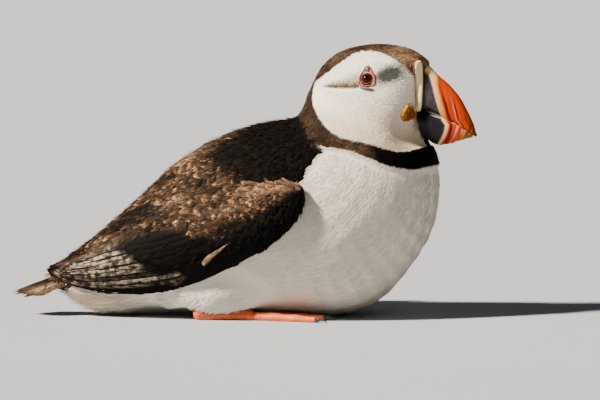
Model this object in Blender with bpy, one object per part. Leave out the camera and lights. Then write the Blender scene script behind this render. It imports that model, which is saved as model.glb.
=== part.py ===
"""An Atlantic puffin, life size, resting on its belly with both tarsi laid flat.

Metres, +Z up. The bird faces +X, its right side is -Y, and the head is turned a little to the right.
The tables below are in millimetres, as (x, z) pairs in the plane that halves the bird.
"""

import math

import bmesh
import bpy
from mathutils import Matrix, Vector
from mathutils.bvhtree import BVHTree

# Driving dimensions
MM = 0.001
BUILD_LENGTH = 242.0  # tail tip to bill tip along the floor, as the tables are drawn
REST_LENGTH = 242.0  # the same length of the bird that is made
SCALE = MM * REST_LENGTH / BUILD_LENGTH
GAP = 0.3  # between neighbouring solids
HEAD_TURN = math.radians(-18.0)
NECK_AXIS_X = 51.0
FLOOR = 0.0

BODY_SIDES = 28
RINGS_PER_ROW = 2
BODY_FULLNESS = 0.10  # how much wider a section is towards the belly
BODY_FLATNESS = 0.93  # under 1 makes the sides flatter than an ellipse

# Each row is one section of the body, from the tail to the root of the bill:
# its point on the back, its point on the belly, and half its width.
BODY_ROWS = (
    ((-104.5, 23.5), (-101.0, 15.5), 6.0),  # tail root
    ((-86.5, 35.5), (-84.5, 4.2), 16.0),  # rump
    ((-72.5, 47.0), (-70.5, 0.7), 23.5),  # lower back
    ((-56.0, 61.5), (-51.0, 2.0), 31.0),  # vent
    ((-41.0, 76.0), (-28.0, 1.0), 38.0),  # hip
    ((-23.0, 88.0), (-2.5, -0.8), 43.5),  # flank
    ((-5.0, 96.0), (23.0, -1.6), 46.5),  # back
    ((9.0, 99.5), (47.0, -1.0), 47.0),  # mantle
    ((19.5, 101.0), (67.0, 6.4), 45.5),  # shoulder
    ((23.5, 102.5), (83.0, 24.0), 42.0),  # breast
    ((25.5, 105.0), (94.0, 42.5), 37.5),  # crop
    ((27.0, 108.5), (98.0, 61.0), 32.5),  # foot of the neck
    ((28.5, 112.0), (97.5, 75.5), 28.0),  # collar
    ((30.0, 115.5), (95.0, 84.5), 24.5),  # throat
    ((32.0, 120.0), (92.5, 89.5), 22.5),  # nape
    ((36.5, 127.5), (91.5, 95.5), 21.5),  # cheek
    ((45.0, 134.5), (91.0, 101.0), 20.5),  # hind crown
    ((56.5, 138.0), (91.0, 106.0), 18.5),  # crown
    ((70.0, 138.8), (91.0, 111.5), 15.5),  # brow
    ((82.0, 136.8), (91.3, 117.0), 12.0),  # forehead
    ((90.0, 132.3), (92.0, 121.0), 8.5),  # lore
    ((95.3, 126.0), (93.5, 123.0), 3.0),  # culmen root
)
NECK_ROW, HEAD_ROW, LAST_ROW = 11.0, 13.5, 21.0
TURN_STARTS, TURN_ENDS = 9.0, 14.0
CUT_ROWS = 0.1  # how much of a row one parting cut takes away

# Each row is a section of the bill: its upper point, its lower point and half its width.
RIM_ROWS = (
    ((88.0, 131.6), (86.4, 104.2), 9.4),
    ((90.4, 130.6), (89.6, 103.6), 9.4),
    ((92.2, 129.0), (91.6, 103.8), 8.8),
)
UPPER_BILL_ROWS = (
    ((92.8, 127.8), (92.1, 104.0), 8.0),
    ((97.5, 122.6), (97.0, 102.5), 7.0),
    ((103.2, 118.3), (103.6, 99.6), 5.7),
    ((108.9, 112.0), (109.2, 96.6), 4.5),
    ((113.6, 104.6), (113.8, 94.2), 3.3),
    ((117.0, 97.8), (117.0, 92.0), 2.1),
    ((118.9, 92.6), (118.7, 90.9), 0.9),
)
LOWER_BILL_ROWS = (
    ((90.0, 105.5), (92.8, 89.4), 7.4),
    ((94.3, 104.6), (96.8, 86.2), 6.9),
    ((99.7, 102.8), (101.2, 85.7), 6.0),
    ((104.2, 100.9), (105.0, 87.0), 5.0),
    ((109.1, 98.0), (109.5, 88.5), 3.9),
    ((113.5, 95.4), (113.6, 89.9), 2.8),
    ((116.6, 92.6), (116.6, 90.4), 1.5),
)
BILL_SIDES = 14
BILL_RINGS_PER_ROW = 1.5
UPPER_FULLNESS, LOWER_FULLNESS = 0.30, -0.20  # the bill is widest where its halves meet
BILL_FLATNESS = 0.72

EYE_AT, EYE_RADIUS, EYE_OPENING = (65.8, 121.4), 4.2, 2.9
ORBIT_THICKNESS = 0.75
PLATE_OVER_EYE = ((65.9, 126.0), (1.7, 2.4, 1.1))  # place, half sizes along, up and out
PLATE_UNDER_EYE = ((66.6, 116.3), (3.6, 0.95, 1.0))
ROSETTE_AT, ROSETTE_SIZE = (86.2, 104.4), (4.2, 4.4, 3.1)

# Each row is a section of the folded wing: its upper edge, its lower edge, its thickness
# and how far it keeps from the middle of the bird.
WING_ROWS = (
    ((26.5, 66.0), (27.5, 59.5), 3.0, 0.0),
    ((23.5, 68.5), (25.0, 52.5), 5.5, 0.0),
    ((14.5, 69.0), (17.0, 43.0), 6.5, 0.0),
    ((-1.0, 68.5), (3.0, 32.0), 6.0, 0.0),
    ((-19.5, 66.0), (-15.5, 22.0), 5.0, 0.0),
    ((-38.0, 58.5), (-34.5, 14.5), 4.5, 10.0),
    ((-56.0, 48.5), (-53.5, 11.5), 4.0, 14.0),
    ((-74.0, 38.0), (-72.5, 11.5), 3.2, 14.0),
    ((-88.0, 29.0), (-87.0, 14.0), 2.4, 12.5),
    ((-98.0, 24.5), (-97.5, 18.0), 1.6, 10.5),
)
WING_SPANS = 6
WING_INSET = 1.2  # how far a wing reaches into the trunk before it is trimmed

# Each row is the middle of a section, then half its width and half its height.
TAIL_ROWS = (
    ((-90.0, 0.0, 25.5), 8.0, 3.6),
    ((-100.0, 0.0, 21.8), 8.8, 3.2),
    ((-108.0, 0.0, 18.3), 12.0, 2.6),
    ((-115.5, 0.0, 14.9), 13.5, 2.0),
    ((-120.6, 0.0, 12.6), 10.5, 1.1),
)
TAIL_DROOP = 2.2  # how much lower the sides of the tail are than its middle

THIGH_ROWS = (
    ((8.0, 27.0, 22.0), 8.5, 11.0),
    ((-3.0, 29.0, 19.0), 12.5, 15.0),
    ((-15.0, 29.5, 14.5), 13.0, 13.0),
    ((-24.5, 28.0, 11.5), 9.5, 9.0),
    ((-31.0, 27.0, 10.0), 4.0, 4.5),
)
TARSUS_ROWS = (
    ((-28.2, 27.0, 2.6), 1.6, 1.6),
    ((-26.0, 27.0, 2.9), 3.2, 3.4),
    ((-21.0, 27.3, 2.6), 2.8, 3.0),
    ((-12.0, 28.2, 2.5), 2.4, 2.9),
    ((-3.0, 29.0, 2.5), 2.6, 2.9),
    ((1.6, 29.5, 2.3), 2.9, 2.7),
)
ANKLE = Vector((2.4, 29.6, 2.0))
TOES = (  # name, length and splay in degrees, outwards positive
    ("inner", 25.0, -17.0),
    ("middle", 35.0, 3.0),
    ("outer", 33.5, 22.0),
)
TOE_RADIUS, TOE_TIP_RADIUS, TOE_KNUCKLE = 2.2, 1.5, 0.45
WEB_THICKNESS, WEB_HOLLOW = 1.1, 0.84
CLAW_LENGTH, CLAW_RADIUS = 5.5, 1.25

COLOURS = {  # linear colour, roughness
    "black_feather": ((0.018, 0.014, 0.012), 0.7),
    "white_feather": ((0.80, 0.78, 0.74), 0.8),
    "brown_feather": ((0.045, 0.030, 0.022), 0.75),
    "bill_orange": ((0.83, 0.10, 0.012), 0.35),
    "bill_slate": ((0.10, 0.10, 0.12), 0.35),
    "rim_cream": ((0.80, 0.66, 0.42), 0.5),
    "rosette_yellow": ((0.80, 0.36, 0.02), 0.55),
    "leg_orange": ((0.78, 0.16, 0.02), 0.5),
    "claw_black": ((0.012, 0.010, 0.010), 0.35),
    "eye_brown": ((0.030, 0.014, 0.008), 0.08),
    "orbit_red": ((0.55, 0.06, 0.03), 0.5),
    "plate_grey": ((0.10, 0.10, 0.13), 0.5),
}


def spline(rows, t):
    """A smooth curve through the rows, read at t, where row i is at t = i."""
    i = min(int(t), len(rows) - 2)
    a, b, c, d = (rows[min(max(i + k, 0), len(rows) - 1)] for k in (-1, 0, 1, 2))
    u = t - i
    return [
        0.5 * (2 * q + (r - p) * u + (2 * p - 5 * q + 4 * r - s) * u**2 + (3 * q - p - 3 * r + s) * u**3)
        for p, q, r, s in zip(a, b, c, d)
    ]


def steps(start, stop, per_row=RINGS_PER_ROW):
    """Even stations from start to stop, about per_row of them to a row."""
    count = max(1, round((stop - start) * per_row))
    return [start + (stop - start) * k / count for k in range(count + 1)]


def smooth(x):
    x = min(max(x, 0.0), 1.0)
    return x * x * (3 - 2 * x)


def section(top, bottom, half_width, sides, fullness=0.0, flatness=1.0):
    """A ring round the line from top to bottom, widest nearer the bottom as fullness grows."""
    middle, arm = (top + bottom) / 2, (top - bottom) / 2
    ring = []
    for k in range(sides):
        angle = 2 * math.pi * k / sides
        up, out = math.cos(angle), math.sin(angle)
        out = math.copysign(abs(out) ** flatness, out) * (1 - fullness * up)
        ring.append(middle + arm * up + Vector((0, half_width * out, 0)))
    return ring


def body_ring(t, margin=0.0):
    (bx, bz, lx, lz, half_width) = spline([(*b, *l, w) for b, l, w in BODY_ROWS], t)
    back, belly = Vector((bx, 0, bz)), Vector((lx, 0, lz))
    out = (back - belly).normalized() * margin
    return section(back + out, belly - out, half_width + margin, BODY_SIDES, BODY_FULLNESS, BODY_FLATNESS)


def turned(ring, t):
    """The ring, turned about the neck as far as its place along the neck says."""
    share = smooth((t - TURN_STARTS) / (TURN_ENDS - TURN_STARTS))
    axis = Vector((NECK_AXIS_X, 0, 0))
    turn = Matrix.Rotation(HEAD_TURN * share, 3, "Z")
    return [axis + turn @ (p - axis) for p in ring]


def limb_rings(rows, sides, per_row=RINGS_PER_ROW, droop=0.0):
    """Rings square to the line through the rows' middles."""
    flat = [(*c, w, h) for c, w, h in rows]
    rings = []
    for t in steps(0, len(rows) - 1, per_row):
        x, y, z, half_width, half_height = spline(flat, t)
        near = [Vector(spline(flat, min(max(t + d, 0), len(rows) - 1))[:3]) for d in (-0.1, 0.1)]
        along = (near[1] - near[0]).normalized()
        side = Vector((0, 0, 1)).cross(along).normalized()
        up = along.cross(side)
        ring = []
        for k in range(sides):
            angle = 2 * math.pi * k / sides
            across = math.sin(angle)
            sag = Vector((0, 0, -droop * across**2))
            ring.append(Vector((x, y, z)) + side * half_width * across + up * half_height * math.cos(angle) + sag)
        rings.append(ring)
    return rings


def material(name):
    if name in bpy.data.materials:
        return bpy.data.materials[name]
    made = bpy.data.materials.new(name)
    made.use_nodes = True
    colour, roughness = COLOURS[name]
    shader = made.node_tree.nodes["Principled BSDF"]
    shader.inputs["Base Color"].default_value = (*colour, 1)
    shader.inputs["Roughness"].default_value = roughness
    made.diffuse_color = (*colour, 1)
    return made


def finished(name, shape, finish, group=None):
    """An object made from a bmesh in millimetres."""
    bmesh.ops.recalc_face_normals(shape, faces=shape.faces)
    mesh = bpy.data.meshes.new(name)
    shape.transform(Matrix.Scale(SCALE, 4))
    shape.to_mesh(mesh)
    shape.free()
    mesh.shade_smooth()
    mesh.materials.append(material(finish))
    made = bpy.data.objects.new(name, mesh)
    (group or BIRD).objects.link(made)
    return made


def loft(name, rings, finish, group=None):
    """A closed body through rings of equal counts, capped at both ends."""
    shape = bmesh.new()
    corners = [[shape.verts.new(p) for p in ring] for ring in rings]
    sides = len(rings[0])
    for near, far in zip(corners, corners[1:]):
        for k in range(sides):
            j = (k + 1) % sides
            shape.faces.new((near[k], near[j], far[j], far[k]))
    shape.faces.new(corners[0])
    shape.faces.new(corners[-1][::-1])
    return finished(name, shape, finish, group)


def helper(made):
    made.hide_render = True
    made.display_type = "WIRE"
    return made


def boolean(made, other, operation="DIFFERENCE"):
    cut = made.modifiers.new(operation.title() + " " + other.name, "BOOLEAN")
    cut.operation = operation
    cut.object = other
    return made


def body_surface():
    """The unturned body, for placing what lies on it. Lengths in millimetres."""
    points, faces = [], []
    rings = [body_ring(t) for t in steps(0, LAST_ROW)]
    for i, ring in enumerate(rings):
        points += ring
        if i:
            a, b = (i - 1) * BODY_SIDES, i * BODY_SIDES
            faces += [
                (a + k, a + (k + 1) % BODY_SIDES, b + (k + 1) % BODY_SIDES, b + k) for k in range(BODY_SIDES)
            ]
    return BVHTree.FromPolygons(points, faces)


def on_body(surface, x, z, side):
    """The point of the unturned body seen from that side at (x, z), and the way out of it."""
    far, sideways = 200.0, Vector((0, side, 0))
    hit, normal, _, _ = surface.ray_cast(Vector((x, 0, z)) + sideways * far, -sideways)
    if hit is None:
        return Vector((x, 0, z)), sideways
    return hit, normal if normal.dot(sideways) > 0 else -normal


def seat(surface, x, z, side, depth=0.0):
    """A matrix on the body at (x, z): its X runs forwards, its Y up and its Z out, in scene units."""
    point, out = on_body(surface, x, z, side)
    up = (Vector((0, 0, 1)) - out * out.z).normalized()
    along = up.cross(out) * (1 if side < 0 else -1)
    frame = Matrix((along, up, out)).transposed().to_4x4()
    return Matrix.Translation((point - out * depth) * SCALE) @ frame


def flesh(first, last, name, finish):
    """One length of the body, between two of its rows, with the head's turn in it."""
    rings = [turned(body_ring(t), t) for t in steps(first, last)]
    return loft(name, rings, finish)


def body_cutter(name, margin):
    rings = [turned(body_ring(t, margin), t) for t in steps(0, LAST_ROW)]
    return helper(loft(name, rings, "white_feather", TOOLS))


def floor_cutter():
    shape = bmesh.new()
    depth, reach = 20.0, 400.0
    bmesh.ops.create_cube(shape, size=1)
    place = Matrix.Translation((0, 0, FLOOR - depth / 2)) @ Matrix.Diagonal((reach, reach, depth, 1))
    bmesh.ops.transform(shape, matrix=place, verts=shape.verts)
    return helper(finished("floor_cutter", shape, "black_feather", TOOLS))


def ball(name, radii, finish, group=None, lobes=0, ripple=0.0, segments=14):
    """An egg with the given half sizes; lobes gives it a rippled rim, as on a rosette."""
    shape = bmesh.new()
    bmesh.ops.create_uvsphere(shape, u_segments=segments, v_segments=segments // 2, radius=1)
    for v in shape.verts:
        swell = 1 + ripple * math.cos(lobes * math.atan2(v.co.y, v.co.x)) * (1 - v.co.z**2)
        v.co = Vector((v.co.x * radii[0] * swell, v.co.y * radii[1] * swell, v.co.z * radii[2]))
    return finished(name, shape, finish, group)


def ring_round_eye(name, radius, thickness, finish):
    """A torus about its own Z axis."""
    bpy.ops.mesh.primitive_torus_add(major_segments=18, minor_segments=7,
                                     major_radius=radius, minor_radius=thickness)
    torus = bpy.context.object
    shape = bmesh.new()
    shape.from_mesh(torus.data)
    bpy.data.objects.remove(torus)
    return finished(name, shape, finish)


def in_head(made, matrix=None):
    """Places a piece in the head's own frame, which the empty at the neck turns."""
    made.parent = HEAD_FRAME
    made.matrix_local = Matrix.Translation((-NECK_AXIS_X * SCALE, 0, 0)) @ (matrix or Matrix.Identity(4))
    return made


def eye(surface, side, word, head, skin):
    sunk = math.sqrt(EYE_RADIUS**2 - EYE_OPENING**2)
    place = seat(surface, *EYE_AT, side, depth=sunk)
    ball_segments = 16
    eyeball = ball(f"eye_{word}", [EYE_RADIUS] * 3, "eye_brown", segments=ball_segments)
    in_head(eyeball, place)
    socket = helper(ball(f"socket_{word}", [EYE_RADIUS + GAP] * 3, "eye_brown", TOOLS, segments=ball_segments))
    in_head(socket, place)
    boolean(head, socket)
    rim = ring_round_eye(f"eye_ring_{word}", EYE_OPENING + ORBIT_THICKNESS, ORBIT_THICKNESS, "orbit_red")
    in_head(rim, seat(surface, *EYE_AT, side))
    boolean(rim, skin)
    boolean(rim, socket)
    rim_space = helper(
        ball(f"rim_space_{word}", [EYE_OPENING + 2 * ORBIT_THICKNESS + GAP] * 3, "orbit_red", TOOLS)
    )
    in_head(rim_space, seat(surface, *EYE_AT, side))
    for where, (spot, radii) in (("over", PLATE_OVER_EYE), ("under", PLATE_UNDER_EYE)):
        plate = ball(f"eye_plate_{where}_{word}", radii, "plate_grey", segments=12)
        in_head(plate, seat(surface, *spot, side))
        boolean(plate, skin)
        boolean(plate, rim_space)


def rosette(surface, side, word, skin):
    """The wrinkled yellow skin at the corner of the mouth."""
    lobes, ripple = 7, 0.07
    made = ball(f"rosette_{word}", ROSETTE_SIZE, "rosette_yellow", lobes=lobes, ripple=ripple)
    in_head(made, seat(surface, *ROSETTE_AT, side))
    boolean(made, skin)
    return made


def bill_rings(rows, fullness, margin=0.0):
    flat = [(*a, *b, w) for a, b, w in rows]
    rings = []
    for t in steps(0, len(rows) - 1, BILL_RINGS_PER_ROW):
        ax, az, bx, bz, half_width = spline(flat, t)
        top, bottom = Vector((ax, 0, az)), Vector((bx, 0, bz))
        out = (top - bottom).normalized() * margin
        ring = section(top + out, bottom - out, half_width + margin, BILL_SIDES, fullness, BILL_FLATNESS)
        rings.append(ring)
    return rings


def bill(skin, rosettes):
    """The cream rim along the base, and the upper and lower halves of the bill."""
    parts = (
        ("bill_rim", RIM_ROWS, UPPER_FULLNESS, "rim_cream"),
        ("bill_upper", UPPER_BILL_ROWS, UPPER_FULLNESS, "bill_orange"),
        ("bill_lower", LOWER_BILL_ROWS, LOWER_FULLNESS, "bill_slate"),
    )
    made, space = {}, {}
    for name, rows, fullness, finish in parts:
        made[name] = in_head(loft(name, bill_rings(rows, fullness), finish))
        grown = loft(name + "_space", bill_rings(rows, fullness, GAP), finish, TOOLS)
        space[name] = in_head(helper(grown))
        boolean(made[name], skin)
    boolean(made["bill_lower"], space["bill_rim"])
    boolean(made["bill_lower"], space["bill_upper"])
    for piece in rosettes:
        for name in space:
            boolean(piece, space[name])


def wing_rings(surface, side, margin=0.0):
    """Rings that follow the flank: outside over the feathers, inside a little way into the trunk."""
    rings = []
    last = len(WING_ROWS) - 1
    edge_share = 0.3
    for t in steps(0, last):
        ax, az, bx, bz, thickness, clear = spline([(*a, *b, *rest) for a, b, *rest in WING_ROWS], t)
        stretch = margin * (1 if t == 0 else -1 if t == last else 0)
        upper, lower = Vector((ax + stretch, az)), Vector((bx + stretch, bz))
        spread = (upper - lower).normalized() * margin
        upper, lower = upper + spread, lower - spread
        outer, inner = [], []
        for k in range(WING_SPANS + 1):
            u = k / WING_SPANS
            point, out = on_body(surface, *upper.lerp(lower, u), side)
            point.y = side * max(abs(point.y), clear)
            out = (out + Vector((0, 2 * side, 0))).normalized()
            lift = thickness * (edge_share + (1 - edge_share) * math.sin(math.pi * u) ** 0.6)
            outer.append(point + out * (lift + margin))
            inner.append(point - out * (WING_INSET + margin))
        rings.append(outer + inner[::-1])
    return rings


def wing(surface, side, word, skin):
    made = loft(f"wing_{word}", wing_rings(surface, side), "brown_feather")
    return boolean(made, skin)


def mirrored(rows, side):
    return [((x, y * side, z), w, h) for (x, y, z), w, h in rows]


def leg(side, word, skin, floor, wing_space):
    """The feathered thigh, and the bare tarsus that lies flat along the floor."""
    thigh_sides, tarsus_sides = 14, 8
    thigh = loft(f"thigh_{word}", limb_rings(mirrored(THIGH_ROWS, side), thigh_sides), "white_feather")
    tarsus_rings = limb_rings(mirrored(TARSUS_ROWS, side), tarsus_sides)
    tarsus = loft(f"tarsus_{word}", tarsus_rings, "leg_orange")
    grown = [(c, w + GAP, h + GAP) for c, w, h in mirrored(TARSUS_ROWS, side)]
    tarsus_space = helper(loft(f"tarsus_space_{word}", limb_rings(grown, tarsus_sides), "leg_orange", TOOLS))
    boolean(thigh, skin)
    boolean(thigh, tarsus_space)
    boolean(thigh, wing_space)
    boolean(thigh, floor)
    boolean(tarsus, floor)
    return tarsus_space


def toe_line(length, splay, side):
    """The points of a toe from the ankle to its tip, lying along the floor."""
    turn = Matrix.Rotation(math.radians(splay) * side, 3, "Z")
    start = Vector((ANKLE.x, ANKLE.y * side, ANKLE.z))
    joints = 6
    for k in range(joints + 1):
        share = k / joints
        radius = TOE_RADIUS + (TOE_TIP_RADIUS - TOE_RADIUS) * share
        knuckle = TOE_KNUCKLE * (k % 2 == 0 and 0 < k < joints)
        reach = turn @ Vector((length * share, 0, 0))
        middle = start + reach
        middle.z = radius * 0.82
        yield tuple(middle), radius + knuckle, radius + knuckle


def foot(side, word, floor, tarsus_space):
    """Three toes with a web between them, and a claw on each toe."""
    toe_sides = 8
    tips = []
    toes = []
    for name, length, splay in TOES:
        rows = list(toe_line(length, splay, side))
        if name == "inner":
            toe_base = rows[0][0]
        toes.append(loft(f"toe_{name}_{word}", limb_rings(rows, toe_sides, 1), "leg_orange", TOOLS))
        tips.append((name, Vector(rows[-1][0]), math.radians(splay) * side))
    sole = bmesh.new()
    outline = [Vector(toe_base)]
    for k, (_, tip, _) in enumerate(tips):
        if k:
            between = (tips[k - 1][1] + tip) / 2
            outline.append(Vector(toe_base).lerp(between, WEB_HOLLOW))
        outline.append(tip)
    under = sole.faces.new([sole.verts.new((p.x, p.y, FLOOR + GAP)) for p in outline])
    over = bmesh.ops.extrude_face_region(sole, geom=[under])["geom"]
    raised = [v for v in over if isinstance(v, bmesh.types.BMVert)]
    bmesh.ops.translate(sole, verts=raised, vec=(0, 0, WEB_THICKNESS))
    made = finished(f"foot_{word}", sole, "leg_orange")
    for toe in toes:
        boolean(made, helper(toe), "UNION")
    boolean(made, tarsus_space)
    boolean(made, floor)
    for name, tip, heading in tips:
        claw(f"claw_{name}_{word}", tip, heading, floor)
    return made


def claw(name, tip, heading, floor):
    """A curved black claw, from just past the end of its toe down to the floor."""
    turn = Matrix.Rotation(heading, 3, "Z")
    count, rows = 4, []
    for k in range(count + 1):
        share = k / count
        along = GAP + TOE_TIP_RADIUS * 0.1 + CLAW_LENGTH * share
        rise = 0.9 * math.sin(math.pi * share) + CLAW_RADIUS * (1 - 0.72 * share)
        point = tip + turn @ Vector((along, 0, 0))
        radius = CLAW_RADIUS * (1 - 0.78 * share)
        rows.append(((point.x, point.y, FLOOR + rise), radius * 0.85, radius))
    made = loft(name, limb_rings(rows, 6, 1), "claw_black")
    return boolean(made, floor)


def tail(skin, wing_spaces):
    made = loft("tail", limb_rings(TAIL_ROWS, 14, droop=TAIL_DROOP), "brown_feather")
    boolean(made, skin)
    for space in wing_spaces:
        boolean(made, space)
    return made


def centre_on_floor():
    """Moves the whole bird so that the middle of its box is over the origin."""
    bpy.context.view_layer.update()
    graph = bpy.context.evaluated_depsgraph_get()
    low, high = Vector((1e9,) * 3), Vector((-1e9,) * 3)
    for made in BIRD.objects:
        if made.type != "MESH":
            continue
        shown = made.evaluated_get(graph)
        for vertex in shown.data.vertices:
            point = shown.matrix_world @ vertex.co
            low, high = Vector(map(min, low, point)), Vector(map(max, high, point))
    ORIGIN.location = Vector((-(low.x + high.x) / 2, -(low.y + high.y) / 2, -low.z))


def build():
    surface = body_surface()
    skin = body_cutter("skin_space", GAP)
    floor = floor_cutter()
    trunk = flesh(0.0, NECK_ROW - CUT_ROWS, "trunk", "white_feather")
    boolean(trunk, floor)
    flesh(NECK_ROW, HEAD_ROW - CUT_ROWS, "neck", "black_feather")
    head = flesh(HEAD_ROW, LAST_ROW, "head", "white_feather")
    rosettes, wing_spaces = [], []
    for side, word in ((1, "left"), (-1, "right")):
        eye(surface, side, word, head, skin)
        rosettes.append(rosette(surface, side, word, skin))
        wing(surface, side, word, skin)
        wing_space = helper(loft(f"wing_space_{word}", wing_rings(surface, side, GAP), "brown_feather", TOOLS))
        wing_spaces.append(wing_space)
        tarsus_space = leg(side, word, skin, floor, wing_space)
        boolean(trunk, tarsus_space)
        foot(side, word, floor, tarsus_space)
    tail(skin, wing_spaces)
    bill(skin, rosettes)
    for made in list(BIRD.objects) + list(TOOLS.objects):
        if made.type == "MESH" and made.parent is None:
            made.parent = ORIGIN
    centre_on_floor()


for old in list(bpy.data.objects):
    bpy.data.objects.remove(old)
BIRD = bpy.data.collections.new("atlantic_puffin")
TOOLS = bpy.data.collections.new("cutters")
for collection in (BIRD, TOOLS):
    bpy.context.scene.collection.children.link(collection)
ORIGIN = bpy.data.objects.new("bird_origin", None)
HEAD_FRAME = bpy.data.objects.new("head_frame", None)
for empty in (ORIGIN, HEAD_FRAME):
    TOOLS.objects.link(empty)
HEAD_FRAME.parent = ORIGIN
HEAD_FRAME.location = (NECK_AXIS_X * SCALE, 0, 0)
HEAD_FRAME.rotation_euler = (0, 0, HEAD_TURN)
build()
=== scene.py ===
"""A life-size Atlantic puffin at rest: its skin and plumage, bill, eyes and feet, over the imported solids.

The tables are in millimetres in the bird's straight frame: X towards the bill, Z up from the floor, and the
head facing ahead. straighten() takes the model's places to that frame, and in_head() takes the head's back.
"""

import math

import bmesh
import bpy
import numpy as np
from mathutils import Matrix, Vector
from mathutils.bvhtree import BVHTree
from mathutils.kdtree import KDTree


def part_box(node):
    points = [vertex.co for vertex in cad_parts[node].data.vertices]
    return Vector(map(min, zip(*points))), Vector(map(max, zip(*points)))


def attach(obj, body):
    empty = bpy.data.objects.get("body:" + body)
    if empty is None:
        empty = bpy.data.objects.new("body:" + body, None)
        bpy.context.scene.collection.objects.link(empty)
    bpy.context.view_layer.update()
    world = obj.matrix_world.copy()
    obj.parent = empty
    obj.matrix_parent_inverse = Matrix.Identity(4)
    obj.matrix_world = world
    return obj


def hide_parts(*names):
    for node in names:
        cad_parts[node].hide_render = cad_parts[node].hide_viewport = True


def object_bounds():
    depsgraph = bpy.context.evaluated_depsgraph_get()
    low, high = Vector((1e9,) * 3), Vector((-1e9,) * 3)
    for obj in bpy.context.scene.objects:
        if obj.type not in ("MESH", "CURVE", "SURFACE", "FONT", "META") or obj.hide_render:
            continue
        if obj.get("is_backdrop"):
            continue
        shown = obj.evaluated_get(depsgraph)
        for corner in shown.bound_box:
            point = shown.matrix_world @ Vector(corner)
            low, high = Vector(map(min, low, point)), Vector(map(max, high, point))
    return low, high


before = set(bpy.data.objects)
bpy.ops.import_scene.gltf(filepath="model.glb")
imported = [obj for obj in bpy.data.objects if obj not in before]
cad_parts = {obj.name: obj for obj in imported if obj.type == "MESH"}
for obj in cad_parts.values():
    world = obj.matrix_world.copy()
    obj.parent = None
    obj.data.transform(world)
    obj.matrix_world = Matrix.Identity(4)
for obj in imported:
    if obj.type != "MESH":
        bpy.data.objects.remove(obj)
cad_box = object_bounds()
chance = np.random.default_rng(7)

MM = 0.001
SIDES = ((-1, "right"), (1, "left"))

# The bird's stance
TRUNK_END_X = -104.5  # where the trunk's last section stands in the straight frame
ZERO = np.array([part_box("trunk")[0].x / MM - TRUNK_END_X, 0, 0])
NECK_AXIS = np.array([51.0, 0, 0])
HEAD_TURN = math.radians(-18.0)
TURN_STARTS = ((23.5, 102.5), (83.0, 24.0))  # lines across the neck, back to front, as (x, z)
TURN_ENDS = ((32.0, 120.0), (92.5, 89.5))

# Outlines of the markings, seen from the side, as (x, z)
FACE = (
    (35, 119), (41.5, 123.3), (46, 126.6), (51.2, 130.6), (55.5, 133.6), (60, 135.2), (65, 135.5),
    (70.2, 134.5), (75.8, 132.7), (81, 129.9), (85, 126.9), (87.6, 124), (90, 121), (97, 118), (100, 100),
    (97, 88.5), (93, 87.3), (88.3, 85.9), (82.7, 85.4), (77.6, 86), (72.3, 87.5), (67.9, 88.8), (60.9, 90),
    (54.8, 91), (48.7, 92.4), (43.4, 94.8), (39.1, 98.7), (36, 103), (34.1, 107.2), (33.3, 111.6),
    (33.7, 116),
)  # fmt: skip
COLLAR_FOOT = (
    (2, 112), (18, 108), (27, 100), (33.5, 88.5), (38.3, 87.5), (47.2, 86.6), (53.4, 85.6), (59.2, 83.7),
    (65.1, 81.8), (70, 79.6), (76, 77.6), (81.4, 76.5), (86.6, 75.9), (91.4, 76.2), (96.5, 77.3), (106, 79),
)  # fmt: skip
HEAD_AND_COLLAR = COLLAR_FOOT + ((112, 90), (112, 150), (2, 150))
UNDERPARTS = COLLAR_FOOT[3:] + (
    (112, 79), (112, -9), (-116, -9), (-93, 12), (-90, 17), (-60, 24), (-20, 36), (-6, 50), (2, 58),
    (12, 63), (22, 67), (27, 71.5), (29.5, 77), (33, 82), (37.5, 86),
)  # fmt: skip
BLACK_MANTLE = (
    (34, 114), (38, 88), (36, 76), (30, 60), (4, 60), (-7, 73), (-20.4, 81.6), (-14, 90), (-2, 99),
    (18, 112),
)  # fmt: skip
# Below this outline the wing is left black: its own black, and painted shade where its lower half turns
# away from the light.
RUSTY_COVERTS = (
    (27, 64), (23.6, 63), (2.6, 49), (-12.8, 39), (-28.7, 40.8), (-44.6, 44), (-60, 38), (-98, 24),
    (-98, 60), (-20, 76), (30, 76),
)  # fmt: skip
# The pale patch of the primaries: worn feathers, with painted sunlight on their outer webs.
WORN_AND_SUNLIT_PRIMARIES = (
    (-105, 18.6), (-96.4, 24.9), (-81, 31.9), (-68, 36.6), (-65.5, 34.5), (-65, 31.5), (-58, 28.5),
    (-54, 24.8), (-57.5, 22.8), (-52, 22.5), (-46, 20.5), (-44.5, 19.2), (-47, 16), (-58, 14), (-76, 14),
    (-92, 15),
)  # fmt: skip

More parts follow.
